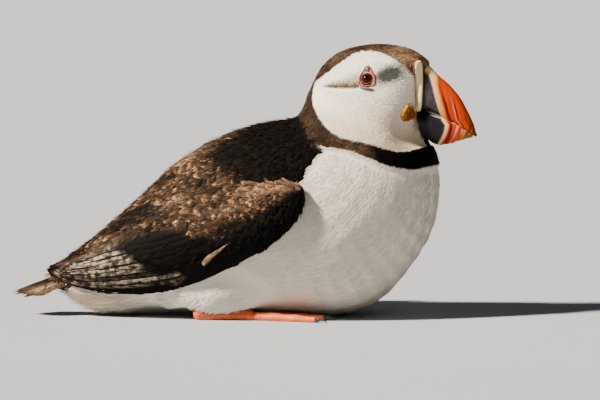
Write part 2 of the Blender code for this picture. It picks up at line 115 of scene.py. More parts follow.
# Lines that the plumage follows, from the bill to the tail, on the left side
LIE = (
    ((90, 0, 130), (80, 0, 136), (70, 0, 139), (56, 0, 138), (45, 0, 134), (36, 0, 127), (30, 0, 116),
     (25, 0, 106), (8, 0, 99), (-22, 0, 88), (-56, 0, 61), (-86, 0, 35), (-104, 0, 23)),
    ((88, 9, 124), (78, 16, 123), (66, 19, 121), (50, 20, 117), (40, 20, 108), (31, 26, 99), (12, 36, 90),
     (-20, 40, 76), (-56, 28, 50), (-90, 12, 26)),
    ((89, 10, 108), (78, 18, 104), (66, 24, 97), (54, 29, 91), (40, 33, 84), (25, 40, 74), (0, 46, 60),
     (-30, 44, 44), (-60, 28, 26), (-90, 12, 16)),
    ((93, 4, 92), (90, 14, 84), (88, 24, 74), (80, 34, 60), (66, 41, 44), (45, 46, 31), (15, 46, 22),
     (-20, 38, 15), (-55, 22, 9), (-88, 10, 8)),
    ((95, 0, 90), (97, 0, 76), (98, 0, 61), (94, 0, 42), (83, 0, 24), (67, 0, 6), (45, 0, 0), (0, 0, 0),
     (-50, 0, 1), (-85, 0, 4), (-101, 0, 15)),
    ((96, 10, 74), (92, 20, 58), (82, 31, 40), (64, 38, 22), (40, 42, 10), (14, 41, 9)),
    ((10, 43, 24), (0, 43, 15), (-10, 42, 6)), ((-8, 42, 26), (-20, 41, 16), (-30, 38, 6)),
    ((-40, 24, 8), (-60, 18, 5), (-80, 12, 7)),
)  # fmt: skip
WING_LIE = (
    ((27, 44, 67), (10, 44, 69), (-20, 42, 64), (-60, 28, 45), (-98, 12, 22)),
    ((28, 48, 61), (22, 50, 52), (5, 49, 41), (-20, 42, 30), (-60, 28, 20), (-98, 12, 18)),
    ((27, 50, 60), (20, 50, 48), (4, 48, 34), (-20, 40, 20), (-60, 26, 12), (-98, 11, 17)),
)

# How deep the skin lies under the tips of the plumage
COAT_DEPTH = {"face": 0.6, "cap": 0.45, "collar": 0.8, "breast": 1.3, "back": 1.0}

# Dark and tan patches of the back and wings: x, z, half length, half height and strength
MOTTLES = (
    (-56, 51, 12, 6.0, -1.3), (-24, 67.5, 8, 4.5, -1.0), (-41, 70.5, 9, 3.0, -0.8),
    (-47, 44.5, 10, 4.0, -1.0), (-9, 45, 13, 3.6, -0.9), (12, 52, 8, 3.0, -0.5), (-84, 33.5, 8, 2.6, -0.8),
    (-66, 57, 7, 2.5, -0.7), (-93, 29, 9, 4.0, -0.7), (-62, 47, 10, 4.5, -0.6), (-79, 41, 9, 3.0, -0.6),
    (-38, 57.5, 13, 5.0, 0.8), (-9, 55, 11, 4.0, 0.4), (-33, 80, 13, 2.6, 0.6), (-64.5, 40.5, 4, 2.0, 0.8),
    (-77, 37, 7, 2.4, 0.8), (-58, 63, 8, 2.2, 0.6), (5, 60, 10, 3.0, 0.3),
)  # fmt: skip

MOTTLE_TILT = 0.5  # they rise towards the head, as the back does

EYE_AT = (65.8, 121.4)
EYE_FURROW = ((61.0, 117.6), (52.0, 117.1), (40.5, 117.5))
FURROW_HEIGHT = 117.0

# Ovals seen from the side: the middle, the half length and half height, and the tilt
LORE_HOLLOW = ((76.6, 123.732), (8.6, 5.4), 0.22)
GAPE_HOLLOW = ((88.5, 95), (8.5, 9))
# A pale feather tip on the wing: worn, and partly painted sunlight
WORN_AND_SUNLIT_SPOT = ((-38.0, 18.4), (5.6, 4.0))
THIGH_HOLLOW = ((-10, 12), (24, 15))
THIGH_EASING = ((-10, 15), (26, 15))
THIGH_STRANDS = ((-10, 6), (30, 17))

VIEW_MIDDLE = (25.5, 58.65)
SLANT = 0.07  # in a side view from a little above, a place comes down by this share of its way out


# ---------------------------------------------------------------------------------------------- places


def past(line, x, z):
    """How far (x, z) lies beyond a line across the neck, towards the head."""
    (ax, az), (bx, bz) = line
    return ((z - az) * (bx - ax) - (x - ax) * (bz - az)) / math.hypot(bx - ax, bz - az)


def turn_share(x, z):
    """How much of the head's turn each place takes: none on the trunk, all of it on the head."""
    start, end = past(TURN_STARTS, x, z), past(TURN_ENDS, x, z)
    between = np.clip(start / np.maximum(start - end, 1e-6), 0, 1)
    share = np.where(start <= 0, 0, np.where(end >= 0, 1, between))
    return share * share * (3 - 2 * share)


def swivel(vectors, angle):
    """The vectors, turned about the upright axis."""
    c, s = np.cos(angle), np.sin(angle)
    x, y, z = vectors.T
    return np.column_stack((x * c - y * s, x * s + y * c, z))


def straighten(points):
    """Places of the model, in metres, as places of the straight bird, and how far each had turned."""
    places = points / MM - ZERO
    share = turn_share(places[:, 0], places[:, 2])
    return swivel(places - NECK_AXIS, -HEAD_TURN * share) + NECK_AXIS, share


def in_head(places):
    """Places of the straight head, in millimetres, as places of the model, in metres."""
    return (swivel(np.asarray(places, float) - NECK_AXIS, HEAD_TURN) + NECK_AXIS + ZERO) * MM


def unit(vectors):
    return vectors / np.maximum(np.linalg.norm(vectors, axis=-1, keepdims=True), 1e-12)


def soft_step(low, high, value):
    """0 at low, 1 at high, and an easy curve between. High may be the smaller."""
    t = np.clip((value - low) / (high - low), 0, 1)
    return t * t * (3 - 2 * t)


def bump_at(value, centre, width):
    return np.exp(-(((value - centre) / width) ** 2))


def oval_gap(x, z, middle, sizes, tilt=0.0):
    """How far (x, z) is from the middle of an oval: 1 at its edge."""
    ahead, up = x - middle[0], z - middle[1]
    return np.hypot(ahead / sizes[0], (up - tilt * ahead) / sizes[1])


def inside(outline, x, z):
    """How deep each (x, z) lies inside a closed outline; below zero outside it."""
    a = np.array(outline, float)
    b = np.roll(a, -1, 0)
    (ax, az), (ex, ez) = a.T, (b - a).T
    x, z = x[:, None], z[:, None]
    t = np.clip(((x - ax) * ex + (z - az) * ez) / (ex**2 + ez**2), 0, 1)
    gap = np.hypot(x - ax - t * ex, z - az - t * ez).min(1)
    slope = ex / np.where(np.abs(ez) < 1e-9, 1e-9, ez)
    crossed = ((az > z) != (b[:, 1] > z)) & (x < ax + slope * (z - az))
    return np.where(crossed.sum(1) % 2 == 1, gap, -gap)


def along_line(line, x, z):
    """The gap from each (x, z) to an open line, and the share of its length at the nearest place."""
    best, share = np.full(len(x), np.inf), np.zeros(len(x))
    for i, ((ax, az), (bx, bz)) in enumerate(zip(line, line[1:])):
        ex, ez = bx - ax, bz - az
        t = np.clip(((x - ax) * ex + (z - az) * ez) / (ex * ex + ez * ez), 0, 1)
        gap = np.hypot(x - ax - t * ex, z - az - t * ez)
        share = np.where(gap < best, (i + t) / (len(line) - 1), share)
        best = np.minimum(best, gap)
    return best, share


def seen(places):
    """Where a place is seen from the side and a little above, as x and z."""
    return places[:, 0], places[:, 2] - SLANT * np.abs(places[:, 1])


# ------------------------------------------------------------------------------------------- markings


def eye_gap(places):
    """How far a place is from the middle of the eye, seen from the side."""
    return np.hypot(places[:, 0] - EYE_AT[0], places[:, 2] - EYE_AT[1])


def regions(places):
    """Which part of the plumage each place is in: yes or no for each part."""
    x, y, z = places[:, 0], np.abs(places[:, 1]), places[:, 2]
    head = inside(HEAD_AND_COLLAR, x, z) > 0
    chin = (y < 3.6) & (x > 86) & (z < 96)
    face = (inside(FACE, x, z) > 0) & ~chin
    under = (inside(UNDERPARTS, x, z) > 0) & ~head
    return {"head": head, "face": face, "under": under, "back": ~head & ~under}


def off_black(x, z):
    """How far the back has left the black of the shoulders, 0 to 1, feather by feather."""
    return soft_step(1.5, -1.5, inside(BLACK_MANTLE, x, z) + 9 * (chance.random(len(x)) - 0.4))


def mottled(x, z):
    """How much tanner, above 0, or darker, below 0, the back and wings are at each place."""
    total = np.zeros(len(x))
    for middle, height, length, depth, strength in MOTTLES:
        gap = oval_gap(x, z, (middle, height), (length, depth), MOTTLE_TILT)
        total += strength * np.exp(-(gap**2))
    return np.clip(total, -0.92, 1)


def face_shade_and_stain(x, z):
    """How brown the white face is: painted shade in the furrow behind the eye and on the shelf under the
    fold above it, and a faint brown low on the cheek.
    """
    gap, share = along_line(EYE_FURROW, x, z)
    over = np.clip(z - FURROW_HEIGHT, 0, None) / (0.8 + 8.0 * (1 - share))
    # Painted shade: the shelf under the fold above the furrow, and the furrow itself.
    shelf = 1.2 * np.clip(1.1 - over, 0, 1) * (share < 1) * (z > FURROW_HEIGHT) * (x < 62)
    furrow = 1.6 * bump_at(gap, 0, 0.42) * soft_step(1.0, 0.7, share)
    return shelf + (0.08 * soft_step(112, 95, z) + furrow)


def lore_grey_with_shade(x, z):
    """How grey the face is in front of the eye, tuft by tuft: grey feathers, with painted shade in the
    hollow there.
    """
    uneven = 0.4 * (chance.random(len(x)) - 0.5) - 0.10 * (x - LORE_HOLLOW[0][0]) / 7.8
    return soft_step(1.4, 0.3, oval_gap(x, z, *LORE_HOLLOW) + uneven)


def plumage_marks(places, rust):
    """How white, warm, rusty and bleached the plumage is at each place.

    On white plumage the last three are its grey, partly painted shade before the eye; its brown stain,
    partly painted shade in and above the furrow; and its cream.
    """
    x, y, z = places[:, 0], np.abs(places[:, 1]), places[:, 2]
    part = regions(places)
    white = part["face"] | part["under"]
    # The forehead is painted lighter and greyer: partly its own paler brown, partly a painted highlight
    # where the light falls on it.
    lit_forehead = soft_step(68, 86, x) * soft_step(124, 131, z)
    nape = soft_step(50, 36, x)
    # The throat is painted darker: its own black, and painted shade under the head.
    throat_shade = soft_step(61, 77, x) * soft_step(97, 86, z)
    cap_warmth = 0.32 + 0.65 * lit_forehead - 0.15 * nape - 0.6 * throat_shade
    patch = mottled(*seen(places))
    back_warmth = 0.01 + 0.28 * off_black(x, z) * (1 + patch)
    warmth = np.clip(np.where(part["head"], cap_warmth, back_warmth), 0, 1)
    rust = rust * np.where(part["head"], np.clip(warmth / 0.3, 0.03, 1), np.clip(1 + patch, 0.04, 2))
    warmth = np.where(part["face"], lore_grey_with_shade(x, z), np.where(part["under"], 0, warmth))
    # A painted highlight along the top of the back, where the light grazes it.
    ridge_highlight = bump_at(y, 0, 7) * soft_step(10, -15, x)
    bleach = 0.12 * soft_step(-70, -96, x) + 0.12 * ridge_highlight + 0.3 * off_black(x, z) * patch
    bleach = np.clip(0.62 * lit_forehead * part["head"] + part["back"] * bleach, 0, 1)
    brown_and_shade = np.where(part["face"], face_shade_and_stain(x, z), 0.10 * soft_step(-50, -95, x))
    cream = np.where(part["face"], 0.08 + 0.42 * soft_step(114, 94, z), 0.05 + 0.3 * soft_step(-30, -85, x))
    return np.column_stack((white, warmth, np.where(white, brown_and_shade, rust), np.where(white, cream, bleach)))


def wing_marks(places, rust):
    """The marks of the wing: rusty above; black below, with painted shade where it turns under; pale where
    the long feathers are worn and where painted sunlight falls on them; and a painted highlight along its
    upper front edge.
    """
    x, z = seen(places)
    # Pale where the primaries are worn and where painted sunlight falls on them; the spot likewise.
    worn = soft_step(-0.8, 0.5, inside(WORN_AND_SUNLIT_PRIMARIES, x, z))
    spot = soft_step(1.15, 0.85, oval_gap(x, z, *WORN_AND_SUNLIT_SPOT))
    # A painted highlight along the wing's upper front edge, over the tan of its small feathers.
    front_edge_highlight = soft_step(-14, 10, x) * soft_step(61.5, 65, z + 0.12 * (20 - x))
    rusty = soft_step(-1.0, 1.5, inside(RUSTY_COVERTS, x, z))
    patch = mottled(x, z) * (1 - worn)
    warmth = 0.005 + 0.28 * rusty * (1 + patch) + 0.45 * front_edge_highlight
    bleach = 0.48 * worn + 0.5 * spot + 0.45 * front_edge_highlight + 0.35 * rusty * np.clip(patch, 0, 1)
    rust = rust * (0.02 + 0.98 * rusty) * np.clip(1 + patch, 0.04, 2)
    return np.column_stack((0 * x, np.clip(warmth, 0, 1), rust, np.clip(bleach, 0, 1)))


# --------------------------------------------------------------------------------------------- meshes


def threes(items, field):
    """Three numbers from each of a mesh's items, as rows."""
    numbers = np.empty(len(items) * 3, np.float32)
    items.foreach_get(field, numbers)
    return numbers.reshape(-1, 3).astype(float)


def corners_of(mesh):
    return threes(mesh.vertices, "co")


def ways_out(mesh):
    return threes(mesh.vertex_normals, "vector")


def set_corners(mesh, points):
    mesh.vertices.foreach_set("co", points.astype(np.float32).ravel())
    mesh.update()


def mark(mesh, name, values):
    """Keeps one number, or four, at each corner of a mesh."""
    kind, field = ("FLOAT", "value") if values.ndim == 1 else ("FLOAT_COLOR", "color")
    made = mesh.attributes.new(name, kind, "POINT")
    made.data.foreach_set(field, values.astype(np.float32).ravel())


def mark_as_down(mesh, plumage):
    """Marks a skin or core under feathers: their colours, but no vane of its own."""
    mark(mesh, "plumage", plumage)
    mark(mesh, "vane", np.tile((0.35, 0.5, 0.0, 0.5), (len(plumage), 1)))


def piece(name, points, faces, finish, marks=None, unwrap=None):
    """An object from arrays: points in metres, and faces that all have the same number of corners."""
    count, sides = faces.shape
    mesh = bpy.data.meshes.new(name)
    mesh.vertices.add(len(points))
    mesh.loops.add(count * sides)
    mesh.polygons.add(count)
    mesh.vertices.foreach_set("co", points.astype(np.float32).ravel())
    mesh.loops.foreach_set("vertex_index", faces.astype(np.int32).ravel())
    mesh.polygons.foreach_set("loop_start", np.arange(0, count * sides, sides, dtype=np.int32))
    mesh.update(calc_edges=True)
    mesh.shade_smooth()
    for label, values in (marks or {}).items():
        mark(mesh, label, values)
    if unwrap is not None:
        layer = mesh.uv_layers.new(name="OFBake")
        layer.uv.foreach_set("vector", unwrap[faces.ravel()].astype(np.float32).ravel())
    mesh.materials.append(finish)
    made = bpy.data.objects.new(name, mesh)
    bpy.context.scene.collection.objects.link(made)
    return made


def settle(made, slot, *stands_for):
    """The piece joins the bird and stands for those solids, which it hides. The slot is not used."""
    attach(made, "root")
    if stands_for:
        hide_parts(*stands_for)
    return made


def recast(name, nodes, finish, voxel, smoothing, swell=0.0, plugs=()):
    """One fine, closed skin over some solids, with their gaps and facets smoothed away.

    Each plug is a ball, a centre in metres and a radius in millimetres, that fills a hollow.
    """
    whole = bmesh.new()
    for node in nodes:
        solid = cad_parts[node].data
        first = len(whole.verts)
        whole.from_mesh(solid)
        whole.verts.ensure_lookup_table()
        fresh = whole.verts[first:]
        bmesh.ops.remove_doubles(whole, verts=fresh, dist=1e-6)
    whole.normal_update()
    for v in whole.verts:
        v.co += v.normal * swell * MM
    for centre, radius in plugs:
        place = Matrix.Translation(centre)
        bmesh.ops.create_icosphere(whole, subdivisions=3, radius=radius * MM, matrix=place)
    mesh = bpy.data.meshes.new(name)
    whole.to_mesh(mesh)
    whole.free()
    made = bpy.data.objects.new(name, mesh)
    bpy.context.scene.collection.objects.link(made)
    remesh = made.modifiers.new("even faces", "REMESH")
    remesh.mode = "VOXEL"
    remesh.voxel_size = voxel * MM
    relax = made.modifiers.new("relax", "SMOOTH")
    relax.iterations = smoothing
    bpy.context.view_layer.update()
    smooth = bpy.data.meshes.new_from_object(made.evaluated_get(bpy.context.evaluated_depsgraph_get()))
    made.modifiers.clear()
    made.data = smooth
    bpy.data.meshes.remove(mesh)
    smooth.name = name
    smooth.materials.clear()
    smooth.materials.append(finish)
    smooth.shade_smooth()
    return made


def middle_of(node):
    low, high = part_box(node)
    return (low + high) / 2


def surface_of(mesh):
    mesh.calc_loop_triangles()
    corners = [v.co for v in mesh.vertices]
    return BVHTree.FromPolygons(corners, [t.vertices for t in mesh.loop_triangles])


# ------------------------------------------------------------------------------------------- finishes


class Shade:
    """A shader socket that does sums."""

    def __init__(self, finish, socket):
        self.finish = finish
        self.socket = socket

    def sum(self, operation, *values, **settings):
        settings["operation"] = operation
        return self.finish.add("ShaderNodeMath", settings, dict(enumerate(values)))

    def __add__(self, other):
        return self.sum("ADD", self, other)

    def __sub__(self, other):
        return self.sum("SUBTRACT", self, other)

    def __rsub__(self, other):
        return self.sum("SUBTRACT", other, self)

    def __mul__(self, other):
        return self.sum("MULTIPLY", self, other)

    def __truediv__(self, other):
        return self.sum("DIVIDE", self, other)

    __radd__ = __add__
    __rmul__ = __mul__

    def wave(self):
        return self.sum("SINE", self)

    def size(self):
        return self.sum("ABSOLUTE", self)

    def kept(self):
        """Held between 0 and 1."""
        return self.sum("ADD", self, 0.0, use_clamp=True)

    def rise(self, low, high):
        """0 below low, 1 above high, and an easy curve between."""
        settings = {"interpolation_type": "SMOOTHSTEP"}
        return self.finish.add("ShaderNodeMapRange", settings, {"Value": self, 1: low, 2: high})

    def line(self, centre, width):
        """1 at a value, falling to 0 on both sides of it."""
        return 1 - (self - centre).size().rise(0, width)


class Finish:
    """A material, built up a node at a time."""

    def __init__(self, name):
        self.material = bpy.data.materials.new(name)
        self.material.use_nodes = True
        self.tree = self.material.node_tree
        self.tree.nodes.clear()

    def add(self, kind, settings=None, sockets=None, output=0):
        node = self.tree.nodes.new(kind)
        for name, value in (settings or {}).items():
            if name == "stops":
                self.set_stops(node.color_ramp, value)
            else:
                setattr(node, name, value)
        for name, value in (sockets or {}).items():
            self.feed(node.inputs[name], value)
        return Shade(self, node.outputs[output]) if node.outputs else None

    def set_stops(self, ramp, stops):
        while len(ramp.elements) < len(stops):
            ramp.elements.new(0.5)
        for element, (place, colour) in zip(ramp.elements, stops):
            element.position = place
            element.color = (*colour, 1)

    def feed(self, socket, value):
        if isinstance(value, Shade):
            self.tree.links.new(value.socket, socket)
        elif isinstance(value, tuple) and socket.type == "RGBA":
            socket.default_value = (*value, 1)
        else:
            socket.default_value = value

    def marks(self, name):
        """The four numbers kept at each corner under a name."""
        whole = self.add("ShaderNodeAttribute", {"attribute_name": name}, output="Color")
        parts = self.add("ShaderNodeSeparateColor", sockets={0: whole}).socket.node.outputs
        rest = whole.socket.node.outputs["Alpha"]
        return [Shade(self, socket) for socket in (*parts, rest)]

    def place(self):
        return self.add("ShaderNodeTexCoord", output="Object")

    def stretched(self, scale):
        return self.add("ShaderNodeMapping", sockets={"Vector": self.place(), "Scale": scale})

    def noise(self, scale, detail=3, vector=None):
        sockets = {"Vector": vector or self.place(), "Scale": scale, "Detail": detail}
        return self.add("ShaderNodeTexNoise", sockets=sockets)

    def cells(self, scale, feature="F1"):
        sockets = {"Vector": self.place(), "Scale": scale}
        return self.add("ShaderNodeTexVoronoi", {"feature": feature}, sockets)

    def rows_of(self, *numbers):
        """Three numbers as a place to draw a pattern from."""
        return self.add("ShaderNodeCombineXYZ", sockets=dict(enumerate(numbers)))

    def mix(self, share, first, second, how="MIX"):
        settings = {"data_type": "RGBA", "blend_type": how}
        return self.add("ShaderNodeMix", settings, {0: share, 6: first, 7: second}, output=2)

    def bump(self, height, distance, strength):
        sockets = {"Height": height, "Distance": distance * MM, "Strength": strength}
        return self.add("ShaderNodeBump", sockets=sockets)

    def done(self, **sockets):
        named = {name.replace("_", " "): value for name, value in sockets.items()}
        shader = self.add("ShaderNodeBsdfPrincipled", sockets=named)
        self.add("ShaderNodeOutputMaterial", sockets={"Surface": shader})
        return self.material


# Colours, linear
BLACK_BROWN = (0.0022, 0.0016, 0.0013)
WARM_BROWN = (0.115, 0.066, 0.038)
FRINGE_TAN = (0.46, 0.25, 0.13)
FRINGE_RUST = (0.20, 0.078, 0.030)
BLEACHED = (0.30, 0.235, 0.17)
SNOW = (0.90, 0.84, 0.74)
CREAM_SHADE = (0.47, 0.40, 0.30)
# Brown stain, and painted shade in the furrow behind the eye and on the shelf above it
STAIN_AND_SHADE = (0.085, 0.055, 0.030)
# Grey of the face before the eye, with painted shade of the hollow there
LORE_GREY_AND_SHADE = (0.046, 0.052, 0.041)
CREAM_WASH = (0.62, 0.41, 0.23)


BARB_PITCH = 0.42  # millimetres from barb to barb


class Vane:
    """What a feather is drawn from: its own marks, and the specks and barbs on it."""

    def __init__(self, f):
        self.along, across, self.barbs, self.tone = f.marks("vane")
        self.side = across * 2 - 1
        self.patches = f.noise(170, 4)
        self.fine = f.noise(2200, 2)


def dark_feather(f, vane, warmth, rust, bleach):
    """Black to warm brown, rusty at the worn rim, and bleached to bare streaks along the barbs."""
    hatch = f.noise(1.0, 3, f.rows_of(vane.barbs * 4.0, vane.side * 1.3, vane.tone * 40))
    strands = f.noise(1.0, 3, f.rows_of(vane.barbs * 0.30, vane.side * 2.4, vane.tone * 60))
    grain = f.noise(750, 3)
    uneven = (0.3 + 1.2 * vane.patches) * (0.2 + 1.6 * grain)
    brown = (warmth * (0.2 + 1.2 * vane.tone + 0.5 * vane.along) * uneven).kept()
    dark = f.mix(brown, BLACK_BROWN, WARM_BROWN)

    tip = vane.along.rise(0.56, 0.95)
    rim = (tip + vane.side.size().rise(0.55, 1.0) * vane.along.rise(0.25, 0.7) * 0.5).kept()
    frayed = vane.patches.rise(0.32, 0.60) * (0.3 + 1.0 * vane.tone) * strands.rise(0.30, 0.62)
    fringe = f.mix((vane.tone * 0.7 + vane.fine * 0.5).kept(), FRINGE_RUST, FRINGE_TAN)
    dark = f.mix((rim * rust * frayed * 1.6).kept(), dark, fringe)

    streaks = (0.05 + hatch.rise(0.44, 0.60) * 0.5 + strands.rise(0.46, 0.58) * 0.85).kept()
    chips = f.noise(330, 4).rise(0.36, 0.62)
    open_web = (1 - vane.side.rise(0.30, 0.62)) * (0.25 + 1.1 * vane.tone) * (0.2 + 1.5 * chips)
    outer_edge = vane.side.line(0.86, 0.10) * (0.2 + 0.7 * chips)
    bare = (bleach * streaks * (open_web + outer_edge) * 1.3).kept()
    return f.mix(bare, dark, f.mix((warmth * 1.3).kept(), BLEACHED, FRINGE_TAN))


def white_feather(f, vane, grey_and_shade, brown_and_shade, cream):
    """Snowy, in soft shade towards the root, with washes of cream, of brown stain and painted shade, and of
    grey and painted shade.
    """
    shade = (0.62 * (1 - vane.tone) * (1 - vane.along) + 0.14 * vane.fine + 0.1 * vane.patches).kept()
    pale = f.mix(shade, SNOW, CREAM_SHADE)
    pale = f.mix((cream * (0.5 + 0.6 * vane.tone + 0.6 * vane.fine)).kept(), pale, CREAM_WASH)
    pale = f.mix((brown_and_shade * (0.15 + 0.7 * vane.tone + vane.fine.rise(0.35, 0.7))).kept(), pale, STAIN_AND_SHADE)
    return f.mix((grey_and_shade * (1.0 + 0.3 * vane.tone)).kept(), pale, LORE_GREY_AND_SHADE)


def plumage_finish():
    """Feathers, white or dark by their marks."""
    f = Finish("plumage")
    white, *washes = f.marks("plumage")
    vane = Vane(f)
    colour = f.mix(white, dark_feather(f, vane, *washes), white_feather(f, vane, *washes))
    ridges = (vane.barbs * (2 * math.pi / BARB_PITCH)).wave()
    normal = f.bump(ridges * 0.5 + vane.fine, 0.05, 0.5)
    return f.done(Base_Color=colour, Roughness=0.7 + 0.14 * white, Normal=normal, Specular_IOR_Level=0.05)


# -------------------------------------------------------------------------------------------- plumage


def lie_of(places, normals, lines):
    """The way the plumage runs at each place: along the nearest lines, flat to the skin."""
    spots, ways = [], []
    for line in lines:
        line = np.array(line, float)
        for a, b in zip(line, line[1:]):
            for share in np.arange(0.125, 1, 0.25):
                spots.append(a + (b - a) * share)
                ways.append(b - a)
    spots, ways = np.array(spots), unit(np.array(ways))
    side = np.where(places[:, 1] < 0, -1.0, 1.0)
    beside = places * np.column_stack((np.ones(len(places)), side, np.ones(len(places))))
    way = np.empty_like(places)
    for first in range(0, len(places), 20000):
        part = slice(first, first + 20000)
        gap = ((beside[part, None] - spots) ** 2).sum(2)
        weight = 1 / (gap + 20) ** 2
        way[part] = weight @ ways
    way[:, 1] *= side
    way -= normals * (way * normals).sum(1, keepdims=True)
    return unit(way)


def unwrapped(places):
    """The bird's skin laid out flat: round the body across, and tail to bill upwards."""
    x, y, z = places.T
    along = x + 0.55 * np.clip(z - 60, 0, None)
    middle = np.interp(along, (-104, -40, 20, 90, 130), (19, 38, 50, 78, 116))
    turn = np.arctan2(y, z - middle + 1e-9)
    return np.column_stack((turn / (2 * math.pi) + 0.5, (along + 110) / 260))


def fitted(flat, margin=0.02):
    """A flat layout, fitted to a square of side 1."""
    low, high = flat.min(0), flat.max(0)
    return margin + (flat - low) / np.maximum(high - low, 1e-9) * (1 - 2 * margin)


class Roots:
    """Where feathers grow: places, the ways out and along, and the same in the straight frame."""

    def __init__(self, points, normals, lines):
        self.points, self.normals = points, unit(normals)
        self.places, self.share = straighten(points)
        straight_normals = swivel(self.normals, -HEAD_TURN * self.share)
        self.ways = swivel(lie_of(self.places, straight_normals, lines), HEAD_TURN * self.share)

    def only(self, chosen):
        part = object.__new__(Roots)
        for name, values in vars(self).items():
            setattr(part, name, values[chosen])
        return part

    def __len__(self):
        return len(self.points)

    def halves(self):
        """For each side of the bird, its word and which of the roots are on it."""
        return [(word, self.places[:, 1] * sign > 0) for sign, word in SIDES]

    def clumped(self):
        """Which of the roots are in clumps a few millimetres across."""
        x_waves, y_waves = (900.0, 500.0, 1100.0), (-600.0, 1000.0, 700.0)
        return np.sin(self.points @ x_waves) * np.sin(self.points @ y_waves) > 0.2


def scatter(mesh, lines, per_mm2):
    """Roots at random over a mesh."""
    mesh.calc_loop_triangles()
    count = len(mesh.loop_triangles)
    corners = np.empty(count * 3, np.int32)
    mesh.loop_triangles.foreach_get("vertices", corners)
    corners = corners.reshape(-1, 3)
    points, normals = corners_of(mesh), ways_out(mesh)
    a, b, c = (points[corners[:, k]] for k in range(3))
    area = np.linalg.norm(np.cross(b - a, c - a), axis=1) / 2
    total = int(area.sum() / MM**2 * per_mm2)
    chosen = chance.choice(count, total, p=area / area.sum())
    u, v = chance.random(total), chance.random(total)
    flip = u + v > 1
    u, v = np.where(flip, 1 - u, u), np.where(flip, 1 - v, v)
    weights = np.column_stack((1 - u - v, u, v))[:, :, None]
    spots = (points[corners[chosen]] * weights).sum(1)
    return Roots(spots, (normals[corners[chosen]] * weights).sum(1), lines)


def thinned(roots, spacing):
    """Fewer roots, none closer to another than its spacing in millimetres."""
    tree = KDTree(len(roots))
    for i, point in enumerate(roots.points):
        tree.insert(point, i)
    tree.balance()
    crowded = np.zeros(len(roots), bool)
    kept = []
    for i, point in enumerate(roots.points):
        if not crowded[i]:
            kept.append(i)
            for _, j, _ in tree.find_range(point, spacing[i] * MM):
                crowded[j] = True
    return roots.only(np.array(kept))


PATCH_SIZE = 0.003  # of a feather on the flat layout of the skin


def vane_faces(count, rows, width):
    corner = np.arange(count * rows * width).reshape(count, rows, width)
    around = (corner[:, :-1, :-1], corner[:, 1:, :-1], corner[:, 1:, 1:], corner[:, :-1, 1:])
    return np.stack(around, axis=-1).reshape(-1, 4)


def weave(
    name, centre, out, side, half_width, columns, places, marks, length, finish,
    camber=0.0, ragged=0.0, fray=0.0, mirror=False,
):  # fmt: skip
    """One mesh of many vanes. centre, out and side hold each vane's rows; half_width is in millimetres.

    marks are one row for each vane or each corner, or a way to work them out for each corner. camber,
    ragged and fray are how far a vane arches, how uneven its sides are and how uneven its tip is.
    """
    count, rows = half_width.shape
    width = columns + 1
    shape = (count, rows, width)
    q = np.linspace(-1, 1, width)
    s = np.linspace(0, 1, rows)[None, :, None]
    spread = half_width[:, :, None] * q * MM
    if ragged:
        spread = spread * (1 + ragged * (chance.random(spread.shape) - 0.5) * (np.abs(q) > 0.6))
    points = centre[:, :, None] + side[:, :, None] * spread[..., None]
    points -= out[:, :, None] * (camber * np.abs(spread) * np.abs(q))[..., None]
    if fray:
        forward = unit(np.gradient(centre, axis=1))
        uneven = fray * (chance.random((count, 1, width)) - 0.6) * soft_step(0.55, 1.0, s)
        points += forward[:, :, None] * (uneven * length[:, None, None] * MM)[..., None]
    points[..., 2] = np.maximum(points[..., 2], 0.0002)
    points = points.reshape(-1, 3)
    across = (1 - q) / 2 if mirror else (q + 1) / 2
    barbs = s * length[:, None, None] + np.abs(q) * half_width[:, :, None]
    tone = chance.random(count)[:, None, None]
    vane = np.stack(np.broadcast_arrays(s, across, barbs, tone), axis=-1).reshape(-1, 4)
    if callable(marks):
        marks = marks(straighten(points)[0])
    if len(marks) == count:
        marks = np.repeat(marks, rows * width, axis=0)
    patch = np.stack(np.broadcast_arrays(q / 2, s - 0.5), axis=-1) * PATCH_SIZE
    root = fitted(unwrapped(places))[:, None, None]
    unwrap = np.broadcast_to(root + patch, (*shape, 2)).reshape(-1, 2)
    return piece(name, points, vane_faces(*shape), finish, {"plumage": marks, "vane": vane}, unwrap)


TUFT_TAPER = ((0, 0.45, 0.8, 1.0), (0.75, 1.0, 0.62, 0.06))
FEATHER_TAPER = ((0, 0.22, 0.45, 0.66, 0.82, 0.93, 1.0), (0.45, 0.8, 1.0, 0.97, 0.78, 0.5, 0.16))


def tufts(
    name, roots, length, finish, half_width, lift, sink, rust, curve,
    stray=0.12, painter=plumage_marks, crisp=False,
):  # fmt: skip
    """Short, narrow tufts that lie along the skin, each a tapered blade of a few faces.

    Crisp tufts change colour along their length, where they cross the edge of a marking.
    """
    count = len(roots)
    s, taper = np.array(TUFT_TAPER)
    length = length * (0.75 + 0.5 * chance.random(count))
    side = unit(np.cross(roots.normals, roots.ways))
    way = unit(roots.ways + side * (chance.standard_normal(count) * stray)[:, None])
    side = unit(np.cross(roots.normals, way))
    lift = lift * (0.4 + 1.2 * chance.random(count))
    reach = length[:, None] * s
    height = -sink + lift[:, None] * s - reach**2 * curve / 2
    lean = way[:, None] * reach[..., None] + roots.normals[:, None] * height[..., None]
    centre = roots.points[:, None] + lean * MM
    out = np.broadcast_to(roots.normals[:, None], centre.shape)
    sides = np.broadcast_to(side[:, None], centre.shape)
    widths = half_width * (0.7 + 0.6 * chance.random(count))[:, None] * taper
    marks = (lambda places: painter(places, rust)) if crisp else painter(straighten(centre[:, 1])[0], rust)
    return weave(name, centre, out, sides, widths, 1, roots.places, marks, length, finish)


def gaps_to(surface, points):
    """How far each point is from a surface, in millimetres."""
    return np.array([surface.find_nearest(Vector(point))[3] for point in points]) / MM


